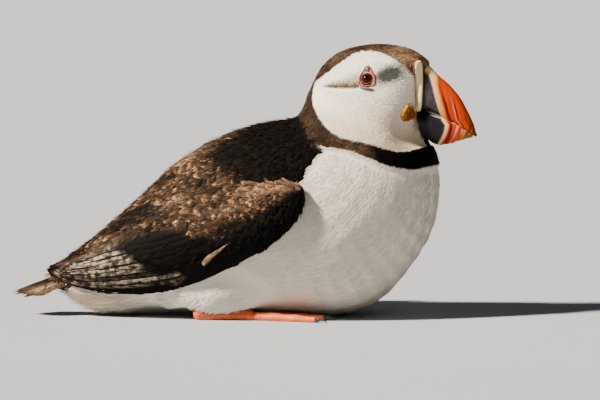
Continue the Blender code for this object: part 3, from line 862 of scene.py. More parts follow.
def laid_over(surface, roots, ways, length, shares):
    """Each feather's spine, crept along a surface, and the way out at each of its places."""
    spine = np.empty((len(roots), len(shares), 3))
    out = np.empty_like(spine)
    for i in range(len(roots)):
        spot, heading, first = Vector(roots.points[i]), Vector(ways[i]), Vector(roots.normals[i])
        for k, share in enumerate(shares):
            if k:
                spot = spot + heading * float(length[i] * (share - shares[k - 1])) * MM
            found, normal, _, _ = surface.find_nearest(spot)
            if first.dot(normal) > 0.2:
                heading = (heading - normal * heading.dot(normal)).normalized()
                spot = found
            else:
                normal = Vector(out[i, k - 1]) if k else first
            spine[i, k], out[i, k] = spot, normal
    return spine, out


def feathers(
    name, roots, surface, length, finish, half_width, lift, rust, stray,
    sink=0.4, painter=plumage_marks,
):  # fmt: skip
    """Broad vanes that follow the skin and overlap like tiles."""
    s, taper = np.array(FEATHER_TAPER)
    side = unit(np.cross(roots.normals, roots.ways))
    way = unit(roots.ways + side * (chance.standard_normal(len(roots)) * stray)[:, None])
    spine, out = laid_over(surface, roots, way, length, s)
    flat = (out * roots.normals[:, None]).sum(2).min(1) > 0.35
    spine, out, roots = spine[flat], out[flat], roots.only(flat)
    length, half_width, lift, rust = length[flat], half_width[flat], lift[flat], rust[flat]
    height = -sink + lift[:, None] * s**1.4
    spine += out * (height * MM)[..., None]
    sides = unit(np.cross(out, np.gradient(spine, axis=1)))
    widths = half_width[:, None] * taper
    broadest = spine[:, 3]
    aside = sides[:, 3] * (widths[:, 3] * MM)[:, None]
    off = np.maximum(gaps_to(surface, broadest + aside), gaps_to(surface, broadest - aside))
    fit = np.clip(1.7 - 0.4 * off, 0, 1)  # a vane that hangs off the surface is narrowed, then left out
    snug = fit > 0.5
    widths, marks = widths * fit[:, None], painter(straighten(broadest)[0], rust)
    return weave(
        name, spine[snug], out[snug], sides[snug], widths[snug], 6, roots.places[snug], marks[snug],
        length[snug], finish, camber=0.2, ragged=0.3, fray=0.28,
    )  # fmt: skip


# ----------------------------------------------------------------------------------------------- skin


def face_relief(x, y, z):
    """How far the face sinks at its furrow, above it, in front of the eye and below the mouth."""
    gap, share = along_line(EYE_FURROW, x, z)
    furrow = 1.3 * bump_at(gap, 0, 0.9) * soft_step(1.0, 0.55, share)
    shelf = 0.5 * soft_step(117, 118.5, z) * soft_step(124, 119, z) * soft_step(1.0, 0.4, share) * (gap < 8)
    hollow = 0.7 * np.exp(-1.5 * oval_gap(x, z, *LORE_HOLLOW) ** 2) * (y > 6)
    gape = 3.8 * np.exp(-(oval_gap(x, z, *GAPE_HOLLOW) ** 2)) * (y > 3)
    return furrow + shelf + hollow + gape


def skin_relief(places):
    """How far the skin sinks below the tips of the plumage at each place."""
    x, y, z = places[:, 0], np.abs(places[:, 1]), places[:, 2]
    part = regions(places)
    depth = np.select(
        [part["face"], part["head"] & (z > 112), part["head"], part["under"]],
        [COAT_DEPTH["face"], COAT_DEPTH["cap"], COAT_DEPTH["collar"], COAT_DEPTH["breast"]],
        COAT_DEPTH["back"],
    )
    near_bare = np.minimum(eye_gap(places) - 3.5, 94 - x)
    depth = np.where(part["head"], depth * (0.3 + 0.7 * soft_step(0, 7, near_bare)), depth)
    thigh = 3.4 * soft_step(30, 42, y) * soft_step(1.25, 0.5, oval_gap(x, z, *THIGH_HOLLOW))
    under_bill = 1.1 * soft_step(88.6, 90.2, x) * (z > 103) * soft_step(129.6, 128.4, z + 0.25 * (x - 91))
    return depth + under_bill + thigh + np.where(part["face"], face_relief(x, y, z), 0)


def relax(mesh, values, rounds):
    """Evens a number out over a mesh."""
    edges = np.empty(len(mesh.edges) * 2, np.int32)
    mesh.edges.foreach_get("vertices", edges)
    a, b = edges.reshape(-1, 2).T
    joined = np.bincount(a, minlength=len(values)) + np.bincount(b, minlength=len(values))
    for _ in range(rounds):
        total = np.bincount(a, values[b], len(values)) + np.bincount(b, values[a], len(values))
        values = 0.5 * values + 0.5 * total / np.maximum(joined, 1)
    return values


# Balls that ease the thigh into the belly: x, y, z and radius
THIGH_FILLING = ((-34, 22, 12, 9), (-23, 27, 15, 11), (-10, 29.5, 16, 11.5), (4, 29, 15, 10.5))


def make_skin(finish):
    """One skin over the trunk, neck, head and thighs."""
    flesh = ("trunk", "neck", "head", "thigh_left", "thigh_right")
    plugs = [(middle_of(f"eye_{word}"), 3.3) for _, word in SIDES]
    for sign, _ in SIDES:
        plugs += [(Vector((x, sign * y, z)) * MM, radius) for x, y, z, radius in THIGH_FILLING]
    skin = recast("skin", flesh, finish, voxel=0.95, smoothing=24, swell=0.25, plugs=plugs)
    points, normals = corners_of(skin.data), ways_out(skin.data)
    places, _ = straighten(points)
    depth = relax(skin.data, skin_relief(places), 2) + 0.25
    points = points - normals * depth[:, None] * MM
    x, y, z = places[:, 0], np.abs(places[:, 1]), places[:, 2]
    round_thigh = soft_step(1.9, 1.1, oval_gap(x, z, *THIGH_EASING)) * soft_step(14, 24, y)
    eased = np.column_stack([relax(skin.data, points[:, axis], 70) for axis in range(3)])
    points += (eased - points) * round_thigh[:, None]
    points[:, 2] = np.maximum(points[:, 2], 0.0003)
    set_corners(skin.data, points)
    mark_as_down(skin.data, plumage_marks(places, 0.3))
    return settle(skin, "breast_feathers", *flesh)


def face_plumage(roots, finish):
    """Velvet on the white of the face, shortest round the eye, by the bill and in the furrow."""
    open_skin = (eye_gap(roots.places) >= 4.4) & (roots.places[:, 0] < 89.0)
    roots = roots.only(regions(roots.places)["face"] & open_skin)
    gap = np.minimum(eye_gap(roots.places) - 4, 93 - roots.places[:, 0])
    crease, _ = along_line(EYE_FURROW, roots.places[:, 0], roots.places[:, 2])
    length = 2.6 * ((0.45 + 0.55 * soft_step(0, 12, gap)) * (0.4 + 0.6 * soft_step(0.3, 3, crease)))
    for word, half in roots.halves():
        made = tufts(
            f"face_velvet_{word}", roots.only(half), length[half], finish,
            half_width=0.24, lift=0.30, sink=0.15, rust=0, curve=1 / 24, crisp=True,
        )  # fmt: skip
        settle(made, "face_feathers")


def cap_plumage(roots, finish):
    """Short dark tufts of the cap, nape and collar, up to the bill."""
    part = regions(roots.places)
    x, z = roots.places[:, 0], roots.places[:, 2]
    bare_from = np.where(z + 0.25 * (x - 91) > 128.7, 92.6, np.where(z > 100, 88.3, 97))
    roots = roots.only(part["head"] & ~part["face"] & (x < bare_from))
    length = 3.3 * (0.55 + 0.45 * soft_step(92, 76, roots.places[:, 0]))
    for word, half in roots.halves():
        made = tufts(
            f"cap_and_collar_{word}", roots.only(half), length[half], finish,
            half_width=0.26, lift=0.5, sink=0.2, rust=0.55, curve=1 / 28, crisp=True,
        )  # fmt: skip
        settle(made, "collar_feathers")


def breast_plumage(roots, finish):
    """Silk on the breast and belly, longer towards the vent."""
    roots = roots.only(regions(roots.places)["under"])
    x, z = roots.places[:, 0], roots.places[:, 2]
    length = 4.2 + 2.6 * soft_step(76, 40, z) + 2.0 * soft_step(-30, -60, x)
    for word, half in roots.halves():
        for level, at_level in (("breast", z > 38), ("belly", z <= 38)):
            some = at_level & half
            made = tufts(
                f"{level}_silk_{word}", roots.only(some), length[some], finish,
                half_width=0.27, lift=0.6, sink=0.3, rust=0, curve=1 / 44,
            )  # fmt: skip
            settle(made, "breast_feathers")
    loose_strands(roots, finish)


def loose_strands(roots, finish):
    """Strands that stand off over the thighs and the vent."""
    x, z = roots.places[:, 0], roots.places[:, 2]
    thigh = soft_step(1.0, 0.4, oval_gap(x, z, *THIGH_STRANDS))
    vent = soft_step(-36, -60, x) * soft_step(20, 8, z)
    loose = np.maximum(thigh * soft_step(15, 4, z), vent)
    grown = chance.random(len(x)) < 0.34 * loose
    loose, vent, roots = loose[grown], vent[grown], roots.only(grown)
    for word, half in roots.halves():
        lift = 0.3 + 0.5 * loose[half] + 1.5 * vent[half]
        made = tufts(
            f"thigh_strands_{word}", roots.only(half), 6 + 3.5 * loose[half], finish,
            half_width=0.15, lift=lift, sink=0.2, rust=0, curve=1 / 60, stray=0.13 + 0.2 * vent[half],
        )  # fmt: skip
        settle(made, "breast_feathers")


MANTLE_SIZES = ((-100, -50, -10, 15, 34), (9, 11, 10, 7.5, 5))  # length of a feather by its place


def back_plumage(roots, surface, finish):
    """Overlapping vanes from shoulders to rump, with ragged barbs among them."""
    roots = roots.only(regions(roots.places)["back"])
    tiles = roots.only(chance.random(len(roots)) < 0.5)
    tiles = thinned(tiles, np.interp(tiles.places[:, 0], *MANTLE_SIZES) * 0.25)
    x, z = tiles.places[:, 0], tiles.places[:, 2]
    size = np.interp(x, *MANTLE_SIZES) * (0.8 + 0.4 * chance.random(len(tiles)))
    rust = 0.02 + 0.88 * off_black(x - 4, z - 2)
    lift = (0.8 + 0.7 * chance.random(len(tiles))) * soft_step(-100, -84, x)
    tips, _ = straighten(tiles.points + tiles.ways * (0.7 * size * MM)[:, None])
    on_back = regions(tips)["back"] & (tips[:, 0] > -101)
    for word, half in tiles.halves():
        some = half & on_back
        made = feathers(
            f"mantle_{word}", tiles.only(some), surface, size[some], finish,
            half_width=size[some] * 0.25, lift=lift[some], rust=rust[some], stray=0.18,
        )  # fmt: skip
        settle(made, "wing_feathers")
    barbs = roots.only(chance.random(len(roots)) < 0.03 + 0.22 * roots.clumped())
    rust = 0.02 + 0.95 * off_black(barbs.places[:, 0] - 3, barbs.places[:, 2])
    for word, half in barbs.halves():
        made = tufts(
            f"mantle_barbs_{word}", barbs.only(half), 4.4, finish,
            half_width=0.17, lift=1.5, sink=0.0, rust=rust[half], curve=1 / 50, stray=0.35,
        )  # fmt: skip
        settle(made, "wing_feathers")


def make_coat(skin, finish):
    """Everything that grows on the skin."""
    roots = scatter(skin.data, LIE, per_mm2=3.2)
    surface = surface_of(skin.data)
    face_plumage(roots, finish)
    cap_plumage(roots, finish)
    breast_plumage(roots.only(chance.random(len(roots)) < 0.85), finish)
    back_plumage(roots, surface, finish)


# ----------------------------------------------------------------------------------------------- wings


WING_SIZES = ((-90, -60, -30, -5, 12, 30), (7, 16, 14, 9, 6.2, 3.4))  # length of a covert by its place
COVERTS_FOOT = ((-66, -50, -40, -20, 0), (42, 36, 30, 22, 0))  # below this height are long feathers only


def wing_core(word, finish):
    """The folded wing under its feathers: a little slimmer, raised, and its tip tucked in."""
    node = f"wing_{word}"
    core = recast(f"wing_core_{word}", (node,), finish, voxel=0.6, smoothing=6)
    points, normals = corners_of(core.data), ways_out(core.data)
    places, _ = straighten(points)
    slim = 0.6 * soft_step(-98, -60, places[:, 0]) + 0.15
    points = points - normals * (slim * MM)[:, None]
    points[:, 2] += 0.045 * np.abs(points[:, 1])
    points[:, 0] += 1.5 * soft_step(0, 25, places[:, 0]) * MM
    points[:, 1] *= 1 - 0.28 * soft_step(-84, -102, places[:, 0])
    set_corners(core.data, points)
    mark_as_down(core.data, wing_marks(places, 0.1) * (1, 0.5, 1, 1))
    return settle(core, "wing_feathers", node)


def against(surface, x, z, sign):
    """The place and way out where (x, z) is seen on a surface, from one side and a little above."""
    start = Vector(((x + ZERO[0]) * MM, sign * 0.1, (z + SLANT * 100) * MM))
    found, normal, _, _ = surface.ray_cast(start, Vector((0, -sign, -SLANT)).normalized(), 0.11)
    return (found, normal) if found is not None and found.y * sign > 0 else None


VANE_TAPER = ((0, 0.3, 0.78, 0.9, 0.96, 1), (0.7, 1, 0.95, 0.78, 0.5, 0.12))
EDGE_TAPER = ((0, 0.25, 0.55, 0.78, 0.93, 1), (0.15, 0.4, 0.75, 1, 0.85, 0.4))


def laid_along(surface, sign, spots):
    """Places and ways out on a surface along a path seen from the side, also past the surface's edge."""
    place = Vector(((spots[0, 0] + ZERO[0]) * MM, sign * 0.03, spots[0, 1] * MM))
    out = Vector((0, sign, 0))
    for x, z in spots:
        met = against(surface, x, z, sign)
        if met:
            place, out = met
        else:
            place = Vector(((x + ZERO[0]) * MM, place.y, z * MM + SLANT * abs(place.y)))
        yield place, out


def long_feathers(
    name, surface, sign, paths, finish, half_width, lifts, rust,
    rows=18, columns=6, taper=VANE_TAPER,
):  # fmt: skip
    """Flight feathers laid along paths seen from the side, each over the one before."""
    laid = [list(laid_along(surface, sign, drawn_through(path, rows))) for path in paths]
    spine, out = (np.array([[met[part] for met in path] for path in laid], float) for part in (0, 1))
    out = unit(out)
    s = np.linspace(0, 1, rows)
    rise = np.asarray(lifts)[:, None] * (1 - 0.8 * soft_step(0.8, 1.0, s))
    spine = spine + out * (rise * MM)[..., None]
    side = unit(np.cross(out, np.gradient(spine, axis=1)))
    widths = half_width * np.interp(s, *taper) * np.ones((len(paths), 1))
    across = np.linspace(-1, 1, columns + 1)
    spread = spine[:, :, None] + side[:, :, None] * (widths[:, :, None] * across * MM)[..., None]
    marks = wing_marks(straighten(spread.reshape(-1, 3))[0], rust)
    length = np.linalg.norm(np.diff(spine, axis=1), axis=2).sum(1) / MM
    roots, _ = straighten(spine[:, 0])
    return weave(
        name, spine, out, side, widths, columns, roots, marks, length, finish,
        camber=0.22, ragged=0.1, mirror=sign > 0,
    )  # fmt: skip


# Where the lowest and the uppermost long feather of the wing run, tip last
LOWER_PRIMARY = (
    (-20, 24), (-36, 18.6), (-50, 16.2), (-64, 15.0), (-78, 15.2), (-90, 17.2), (-98, 20.2), (-103, 23.6),
)  # fmt: skip
UPPER_PRIMARY = (
    (-34, 44), (-48, 40.5), (-60, 37.5), (-72, 34.2), (-82, 30.4), (-91, 27.2), (-98, 25.4), (-102.5, 24.4),
)  # fmt: skip
LOWER_SECONDARY = ((12, 40), (-4, 31), (-18, 25), (-32, 20.5), (-46, 18.0))
UPPER_SECONDARY = ((-12, 54), (-26, 49.5), (-38, 45), (-50, 40.5), (-62, 36.5))
PALE_COVERT = ((-10.5, 37.2), (-14.2, 34.2), (-19.0, 30.6), (-24.2, 25.2))


def fanned(low, high, shares, shift=0.0):
    """Paths between two edges of the wing, each a little further forward than the one before."""
    low, high = np.array(low, float), np.array(high, float)
    steps = np.linspace(0, shift, len(shares))
    return [low * (1 - share) + high * share + (step, 0) for share, step in zip(shares, steps)]


def flight_feathers(sign, word, surface, finish):
    """Nine primaries, seven secondaries over them, and the one covert that has turned pale."""
    primaries = fanned(LOWER_PRIMARY, UPPER_PRIMARY, np.linspace(0.0, 0.97, 9), 3.0)
    made = long_feathers(
        f"primaries_{word}", surface, sign, primaries, finish,
        half_width=2.7, lifts=np.linspace(0.4, 1.7, 9), rust=0.5, rows=30, columns=10,
    )  # fmt: skip
    settle(made, "wing_feathers")
    secondaries = fanned(LOWER_SECONDARY, UPPER_SECONDARY, np.linspace(0, 1, 7))
    made = long_feathers(
        f"secondaries_{word}", surface, sign, secondaries, finish,
        half_width=4.2, lifts=np.linspace(0.5, 1.3, 7), rust=0.25, rows=24, columns=10,
    )  # fmt: skip
    settle(made, "wing_feathers")
    made = long_feathers(
        f"pale_edge_{word}", surface, sign, [PALE_COVERT], finish,
        half_width=1.45, lifts=[1.9], rust=0.3, taper=EDGE_TAPER,
    )  # fmt: skip
    tan = np.tile((0, 0.8, 0.7, 0.7), (len(made.data.vertices), 1))
    made.data.attributes["plumage"].data.foreach_set("color", tan.astype(np.float32).ravel())
    settle(made, "wing_feathers")


def where_coverts_lie(roots, surface, sign):
    """The roots whose feather, laid at full length, still lies on the outside of the wing."""
    reach = 0.9 * np.interp(roots.places[:, 0], *WING_SIZES)
    ends = roots.points + roots.ways * (reach * MM)[:, None]
    turned = np.array([surface.find_nearest(Vector(end))[1] for end in ends])
    roots = roots.only(((turned * roots.normals).sum(1) > 0.55) & (turned[:, 1] * sign > 0.25))
    x, z = seen(roots.places)
    return roots.only(z > np.interp(x, *COVERTS_FOOT))


def coverts(sign, word, core, surface, finish):
    """The wing's smaller feathers, in rows like tiles, with ragged barbs among the rusty ones."""
    roots = scatter(core.data, WING_LIE, per_mm2=1.8)
    roots = roots.only((roots.normals[:, 1] * sign > 0.1) & (roots.places[:, 0] > -66))
    barbs = roots.only(chance.random(len(roots)) < 0.05 + 0.4 * roots.clumped())
    tiles = thinned(roots, np.interp(roots.places[:, 0], *WING_SIZES) * 0.26)
    tiles = where_coverts_lie(tiles, surface, sign)
    size = np.interp(tiles.places[:, 0], *WING_SIZES) * (0.8 + 0.4 * chance.random(len(tiles)))
    x, z = seen(tiles.places)
    rusty = soft_step(0, 2.5, inside(RUSTY_COVERTS, x - 0.75 * size, z - 0.35 * size))
    made = feathers(
        f"wing_coverts_{word}", tiles, surface, size, finish,
        half_width=size * 0.26 + 0.3, lift=1.2 + 0.05 * size, rust=0.03 + 0.9 * rusty, stray=0.16,
        sink=0.2, painter=wing_marks,
    )  # fmt: skip
    settle(made, "wing_feathers")
    x, z = seen(barbs.places)
    rusty = soft_step(-1, 2, inside(RUSTY_COVERTS, x - 2.5, z - 1.5))
    barbs, rusty = barbs.only(rusty > 0.2), rusty[rusty > 0.2]
    made = tufts(
        f"covert_barbs_{word}", barbs, 3.6, finish,
        half_width=0.17, lift=1.3, sink=-1.0, rust=rusty, curve=1 / 60, stray=0.5, painter=wing_marks,
    )  # fmt: skip
    settle(made, "wing_feathers")


def make_wings(finish):
    for sign, word in SIDES:
        core = wing_core(word, finish)
        surface = surface_of(core.data)
        flight_feathers(sign, word, surface, finish)
        coverts(sign, word, core, surface, finish)


TAIL_ROOT = np.array([-84.0, 0.0, 24.0])
TAIL_TIP = np.array([-120.5, 0.0, 11.6])
TAIL_TAPER = ((0, 0.4, 0.75, 0.88, 0.96, 1), (0.6, 0.9, 1, 0.72, 0.34, 0.06))


def tail_core(finish):
    """What fills the tail under its feathers, thinner than the solid."""
    core = recast("tail_core", ("tail",), finish, voxel=0.5, smoothing=4)
    points, normals = corners_of(core.data), ways_out(core.data)
    points -= normals * 0.6 * MM
    places, _ = straighten(points)
    points[:, 0] += 0.8 * np.clip(-104 - places[:, 0], 0, None) * MM
    drop = (TAIL_TIP[2] - TAIL_ROOT[2]) * (places[:, 0] - TAIL_ROOT[0]) / (TAIL_TIP[0] - TAIL_ROOT[0])
    level = TAIL_ROOT[2] + drop
    points[:, 2] = (level - 2.2 + 0.3 * (places[:, 2] - level)) * MM
    points[:, 1] *= 0.8
    set_corners(core.data, points)
    mark_as_down(core.data, wing_marks(places, 0.1) * (1, 0.6, 1, 1))
    settle(core, "tail_feathers", "tail")


def tail_marks(fan, s, width):
    """The tail's feathers are worn and pale outside the middle pair, but not at the very edge or tip."""
    outer = np.abs(fan)[:, None, None]
    worn = soft_step(0.30, 0.55, outer) * (1 - 0.7 * soft_step(0.85, 1.0, outer))
    worn = worn * (1 - 0.8 * soft_step(0.70, 0.86, s))[:, None]
    worn = np.broadcast_to(worn, (len(fan), len(s), width)).ravel()
    return np.column_stack((0 * worn, 0.08 + 0.45 * worn, 0.15 + 0.5 * worn, 0.45 * worn))


def make_tail(finish):
    """Twelve feathers spread from one root, lower and shorter towards the sides."""
    tail_core(finish)
    rows, columns = 16, 6
    fan = np.concatenate((np.linspace(-1, -0.08, 6), np.linspace(0.08, 1, 6)[::-1]))
    fan = fan[np.argsort(-np.abs(fan))]  # the outer feathers lie under the inner ones
    s = np.linspace(0, 1, rows)
    reach = 1.03 - 0.30 * np.abs(fan) ** 1.6 + 0.07 * (chance.random(len(fan)) - 0.5)
    spine = TAIL_ROOT + (TAIL_TIP - TAIL_ROOT) * (s * reach[:, None])[..., None]
    aside = fan[:, None] * (3.0 + 9.0 * s)
    spine[..., 1] = aside
    spine[..., 2] -= 4.7 * np.abs(fan[:, None]) ** 1.5 * (0.65 + 0.35 * s)
    spine[..., 2] += 0.5 * (1 - np.abs(fan[:, None])) + 0.8 * np.sin(math.pi * s)
    out = unit(np.stack(np.broadcast_arrays(0.25, aside * 0.05, 1.0), axis=-1))
    side = unit(np.cross(out, np.gradient(spine, axis=1)))
    widths = 2.7 * np.interp(s, *TAIL_TAPER) * np.ones((len(fan), 1))
    made = weave(
        "tail_feathers", (spine + ZERO) * MM, out, side, widths, columns, spine[:, 0],
        tail_marks(fan, s, columns + 1), np.full(len(fan), 34.0), finish,
        camber=0.25, ragged=0.3, fray=0.05,
    )  # fmt: skip
    settle(made, "tail_feathers")


# --------------------------------------------------------------------------------------- bill and rim


# Each row: the height, and where the rim's rear and front edges are seen
RIM_EDGES = (
    (102.4, 84.9, 86.2), (104, 84.1, 86.6), (108, 83.8, 87.1), (113, 83.8, 87.5), (118, 83.6, 87.7),
    (123, 83.3, 87.7), (126.5, 83.2, 87.5), (128.3, 83.5, 87.1), (129.2, 84.4, 86.2),
)  # fmt: skip
# Each row: the upper (x, z), the lower (x, z), and half the width
UPPER_ROWS = (
    (90.0, 129.0, 89.0, 104.6, 8.9), (92.8, 127.6, 92.1, 104.0, 8.0), (97.5, 122.9, 97.0, 102.5, 7.0),
    (103.2, 118.3, 103.6, 99.8, 5.7), (108.8, 112.0, 109.2, 97.0, 4.5), (113.2, 104.6, 113.4, 94.9, 3.3),
    (116.2, 98.4, 116.2, 92.9, 2.1), (117.5, 94.0, 117.3, 92.1, 1.0),
)  # fmt: skip
LOWER_ROWS = (
    (88.0, 105.4, 90.2, 91.8, 7.5), (90.0, 105.5, 92.2, 90.8, 7.4), (94.3, 104.6, 95.8, 88.3, 6.9),
    (99.7, 102.8, 100.6, 87.7, 6.0), (104.2, 101.1, 104.8, 88.6, 5.0), (108.9, 98.4, 109.1, 89.9, 3.9),
    (112.8, 96.0, 112.9, 91.0, 2.8), (115.2, 93.9, 115.2, 91.7, 1.5),
)  # fmt: skip
BILL_FLATNESS = 0.72
BAND_TURNS = (98, 100.5)  # the heights between which the band steps back, where the halves meet
GROOVES = ((4.2, 0.55, -0.42), (8.7, 0.6, -0.34), (12.6, 0.7, -0.2), (7.6, 0.6, 0.26), (11.6, 0.6, 0.12))
UPPER_FULLNESS, LOWER_FULLNESS = 0.30, -0.20


def drawn_through(knots, count):
    """Places along an easy curve through the knots."""
    knots = np.asarray(knots, float)
    ends = np.vstack((2 * knots[0] - knots[1], knots, 2 * knots[-1] - knots[-2]))
    t = np.linspace(0, len(knots) - 1, count)
    i = np.minimum(t.astype(int), len(knots) - 2)
    f = (t - i)[:, None]
    a, b, c, d = (ends[i + k] for k in range(4))
    return 0.5 * (2 * b + (c - a) * f + (2 * a - 5 * b + 4 * c - d) * f**2 + (3 * b - a - 3 * c + d) * f**3)


def ring_faces(rings, spokes):
    """The faces of a tube from rings of places."""
    near = np.arange(spokes)
    next_one = (near + 1) % spokes
    start = np.arange(rings - 1)[:, None] * spokes
    around = (start + near, start + next_one, start + spokes + next_one, start + spokes + near)
    return np.stack(around, axis=-1).reshape(-1, 4)


def round_turn(count):
    """Angles once round."""
    return np.linspace(0, 2 * math.pi, count, endpoint=False)


def horn_rings(rows, fullness, count, sides):
    """Closed rings down a half of the bill, with the share of the way up the section at each place."""
    table = drawn_through(rows, count)
    turn = round_turn(sides)
    up = np.cos(turn)
    beside = np.sign(np.sin(turn)) * np.abs(np.sin(turn)) ** BILL_FLATNESS * (1 - fullness * up)
    top, bottom, half = table[:, None, 0:2], table[:, None, 2:4], table[:, 4:5]
    spine = (top + bottom) / 2 + (top - bottom) / 2 * up[None, :, None]
    rings = np.stack((spine[..., 0], half * beside, spine[..., 1]), axis=-1)
    heel_middle = rings[:1].mean(1, keepdims=True)
    heel = heel_middle + (rings[:1] - heel_middle[0]) * 0.02
    middle = rings[-1].mean(0)
    tip = []
    for angle in (0.35, 0.7, 1.05, 1.35, 1.55):
        ahead = math.sin(angle) * 0.7, 0, -math.sin(angle) * 0.25
        tip.append(middle + (rings[-1] - middle) * math.cos(angle) + ahead)
    rings = np.concatenate((heel, rings, np.array(tip)))
    share = np.broadcast_to((1 + up) / 2, rings.shape[:2])
    return rings, share


def past_band(x, z):
    """How far a place of the bill lies ahead of the rear edge of its pale band."""
    low, high = BAND_TURNS
    over = np.clip(z - high, 0, None)
    upper = 101.3 - 0.22 * over - 0.0035 * over**2
    under = 103.1 - 0.05 * np.clip(low - z, 0, None) ** 2
    step = under + (z - low) / (high - low) * (upper - under)
    return x - np.where(z > high, upper, np.where(z < low, under, step))


def horn_relief(ahead, share):
    """The raised band and the grooves and ridges that cross the bill, fading towards its top edge."""
    band = 0.22 * soft_step(-0.5, 0.3, ahead) * soft_step(3.6, 2.6, ahead)
    grooves = sum(height * bump_at(ahead, middle, width) for middle, width, height in GROOVES)
    return band * soft_step(1.0, 0.86, share) + grooves * soft_step(0.92, 0.5, share)


def horn(name, rows, fullness, finish, slot, node, count, sides, relief):
    """Half of the bill, with its grooves raised and sunk by relief."""
    rings, share = horn_rings(rows, fullness, count, sides)
    places = rings.reshape(-1, 3)
    ahead, share = past_band(places[:, 0], places[:, 2]), share.ravel()
    faces = ring_faces(len(rings), sides)
    marks = {"horn": np.column_stack((ahead, share, places[:, 0], places[:, 2]))}
    made = piece(name, in_head(places), faces, finish, marks)
    points, normals = corners_of(made.data), ways_out(made.data)
    if (normals * (points - points.mean(0))).sum() < 0:
        made.data.flip_normals()
        normals = -normals
    set_corners(made.data, points + normals * (relief(places, ahead, share) * MM)[:, None])
    return settle(made, slot, node)


def nostril(x, share):
    """1 in the long slit low on the side of the upper bill."""
    return bump_at(share, 0.135 - 0.012 * (x - 95), 0.028) * soft_step(93.6, 95, x) * soft_step(102, 100, x)


def upper_relief(places, ahead, share):
    return horn_relief(ahead, share) - 0.30 * nostril(places[:, 0], share)


def lower_relief(_places, ahead, _share):
    return 0.8 * horn_relief(ahead + 0.9, 0.5)


HORN_SLATE = (0.036, 0.029, 0.032)
HORN_CREAM = (0.84, 0.56, 0.20)
HORN_ORANGE = (0.50, 0.095, 0.0)
HORN_RED = (0.43, 0.034, 0.0)
HORN_DEEP_RED = (0.11, 0.004, 0.001)
HORN_PINK = (0.72, 0.16, 0.06)
HORN_TIP = (0.30, 0.09, 0.03)
# Black for painted shade in the nostril slit and the mouth's corner, and for the dark seam at the bill's
# base
SHADE_AND_SEAM_BLACK = (0.003, 0.003, 0.004)
# The lower bill's slate, painted darker than the upper's with the shade that falls on it
LOWER_SLATE_IN_SHADE = (0.011, 0.010, 0.013)

# Colours along each half of the bill, by how far ahead of the band's rear edge they come
UPPER_STOPS = (
    (-12, HORN_SLATE), (-1.0, HORN_SLATE), (-0.3, (0.16, 0.12, 0.11)), (0.15, HORN_CREAM),
    (1.2, (0.90, 0.50, 0.20)), (2.4, HORN_ORANGE), (3.3, HORN_RED), (3.9, HORN_DEEP_RED),
    (4.4, HORN_DEEP_RED), (4.9, HORN_RED), (6.8, (0.37, 0.026, 0.0)), (7.6, HORN_PINK), (8.2, HORN_RED),
    (8.8, (0.35, 0.022, 0.0)), (9.6, HORN_RED), (12.6, (0.36, 0.024, 0.0)), (13.4, HORN_RED),
    (15.2, (0.34, 0.032, 0.004)), (17.5, HORN_TIP),
)  # fmt: skip
LOWER_STOPS = (
    (-12, LOWER_SLATE_IN_SHADE), (-1.0, LOWER_SLATE_IN_SHADE), (-0.4, (0.10, 0.08, 0.07)), (0.1, HORN_CREAM),
    (1.0, (0.88, 0.42, 0.16)), (1.9, HORN_RED), (3.2, HORN_DEEP_RED), (4.2, (0.42, 0.02, 0.002)),
    (5.0, HORN_RED), (5.6, (0.72, 0.26, 0.14)), (6.1, (0.50, 0.045, 0.005)), (7.4, (0.56, 0.10, 0.03)),
    (9.2, (0.52, 0.09, 0.02)), (9.8, (0.66, 0.30, 0.11)), (10.4, (0.50, 0.10, 0.02)),
    (13, (0.45, 0.20, 0.05)), (17, (0.22, 0.10, 0.03)),
)  # fmt: skip
STOPS_REACH = (-12.0, 18.0)


def horn_ramp(f, ahead, stops):
    low, high = STOPS_REACH
    placed = tuple(((place - low) / (high - low), colour) for place, colour in stops)
    return f.add("ShaderNodeValToRGB", {"stops": placed}, {"Fac": (ahead - low) / (high - low)})


def banded_horn(f, ahead, stops, slate_streaks):
    """The bill's bands in glossy, finely streaked horn: colour, roughness and relief."""
    fine = f.noise(700, 4)
    drift = (f.noise(260, 3) - 0.5) * 0.9
    streaks = f.noise(1400, 2, f.stretched((1, 1, 0.16)))
    colour = horn_ramp(f, ahead + drift, stops)
    slate = 1 - (ahead + drift * 0.4).rise(-0.5, 0.1)
    colour = f.mix((slate * streaks.rise(0.35, 0.75) * 0.5).kept(), colour, slate_streaks)
    colour = f.mix((fine * 0.35).kept(), colour, HORN_DEEP_RED, "MULTIPLY")
    return colour, 0.32 + 0.2 * streaks, f.bump(streaks * 0.6 + fine, 0.06, 0.5)


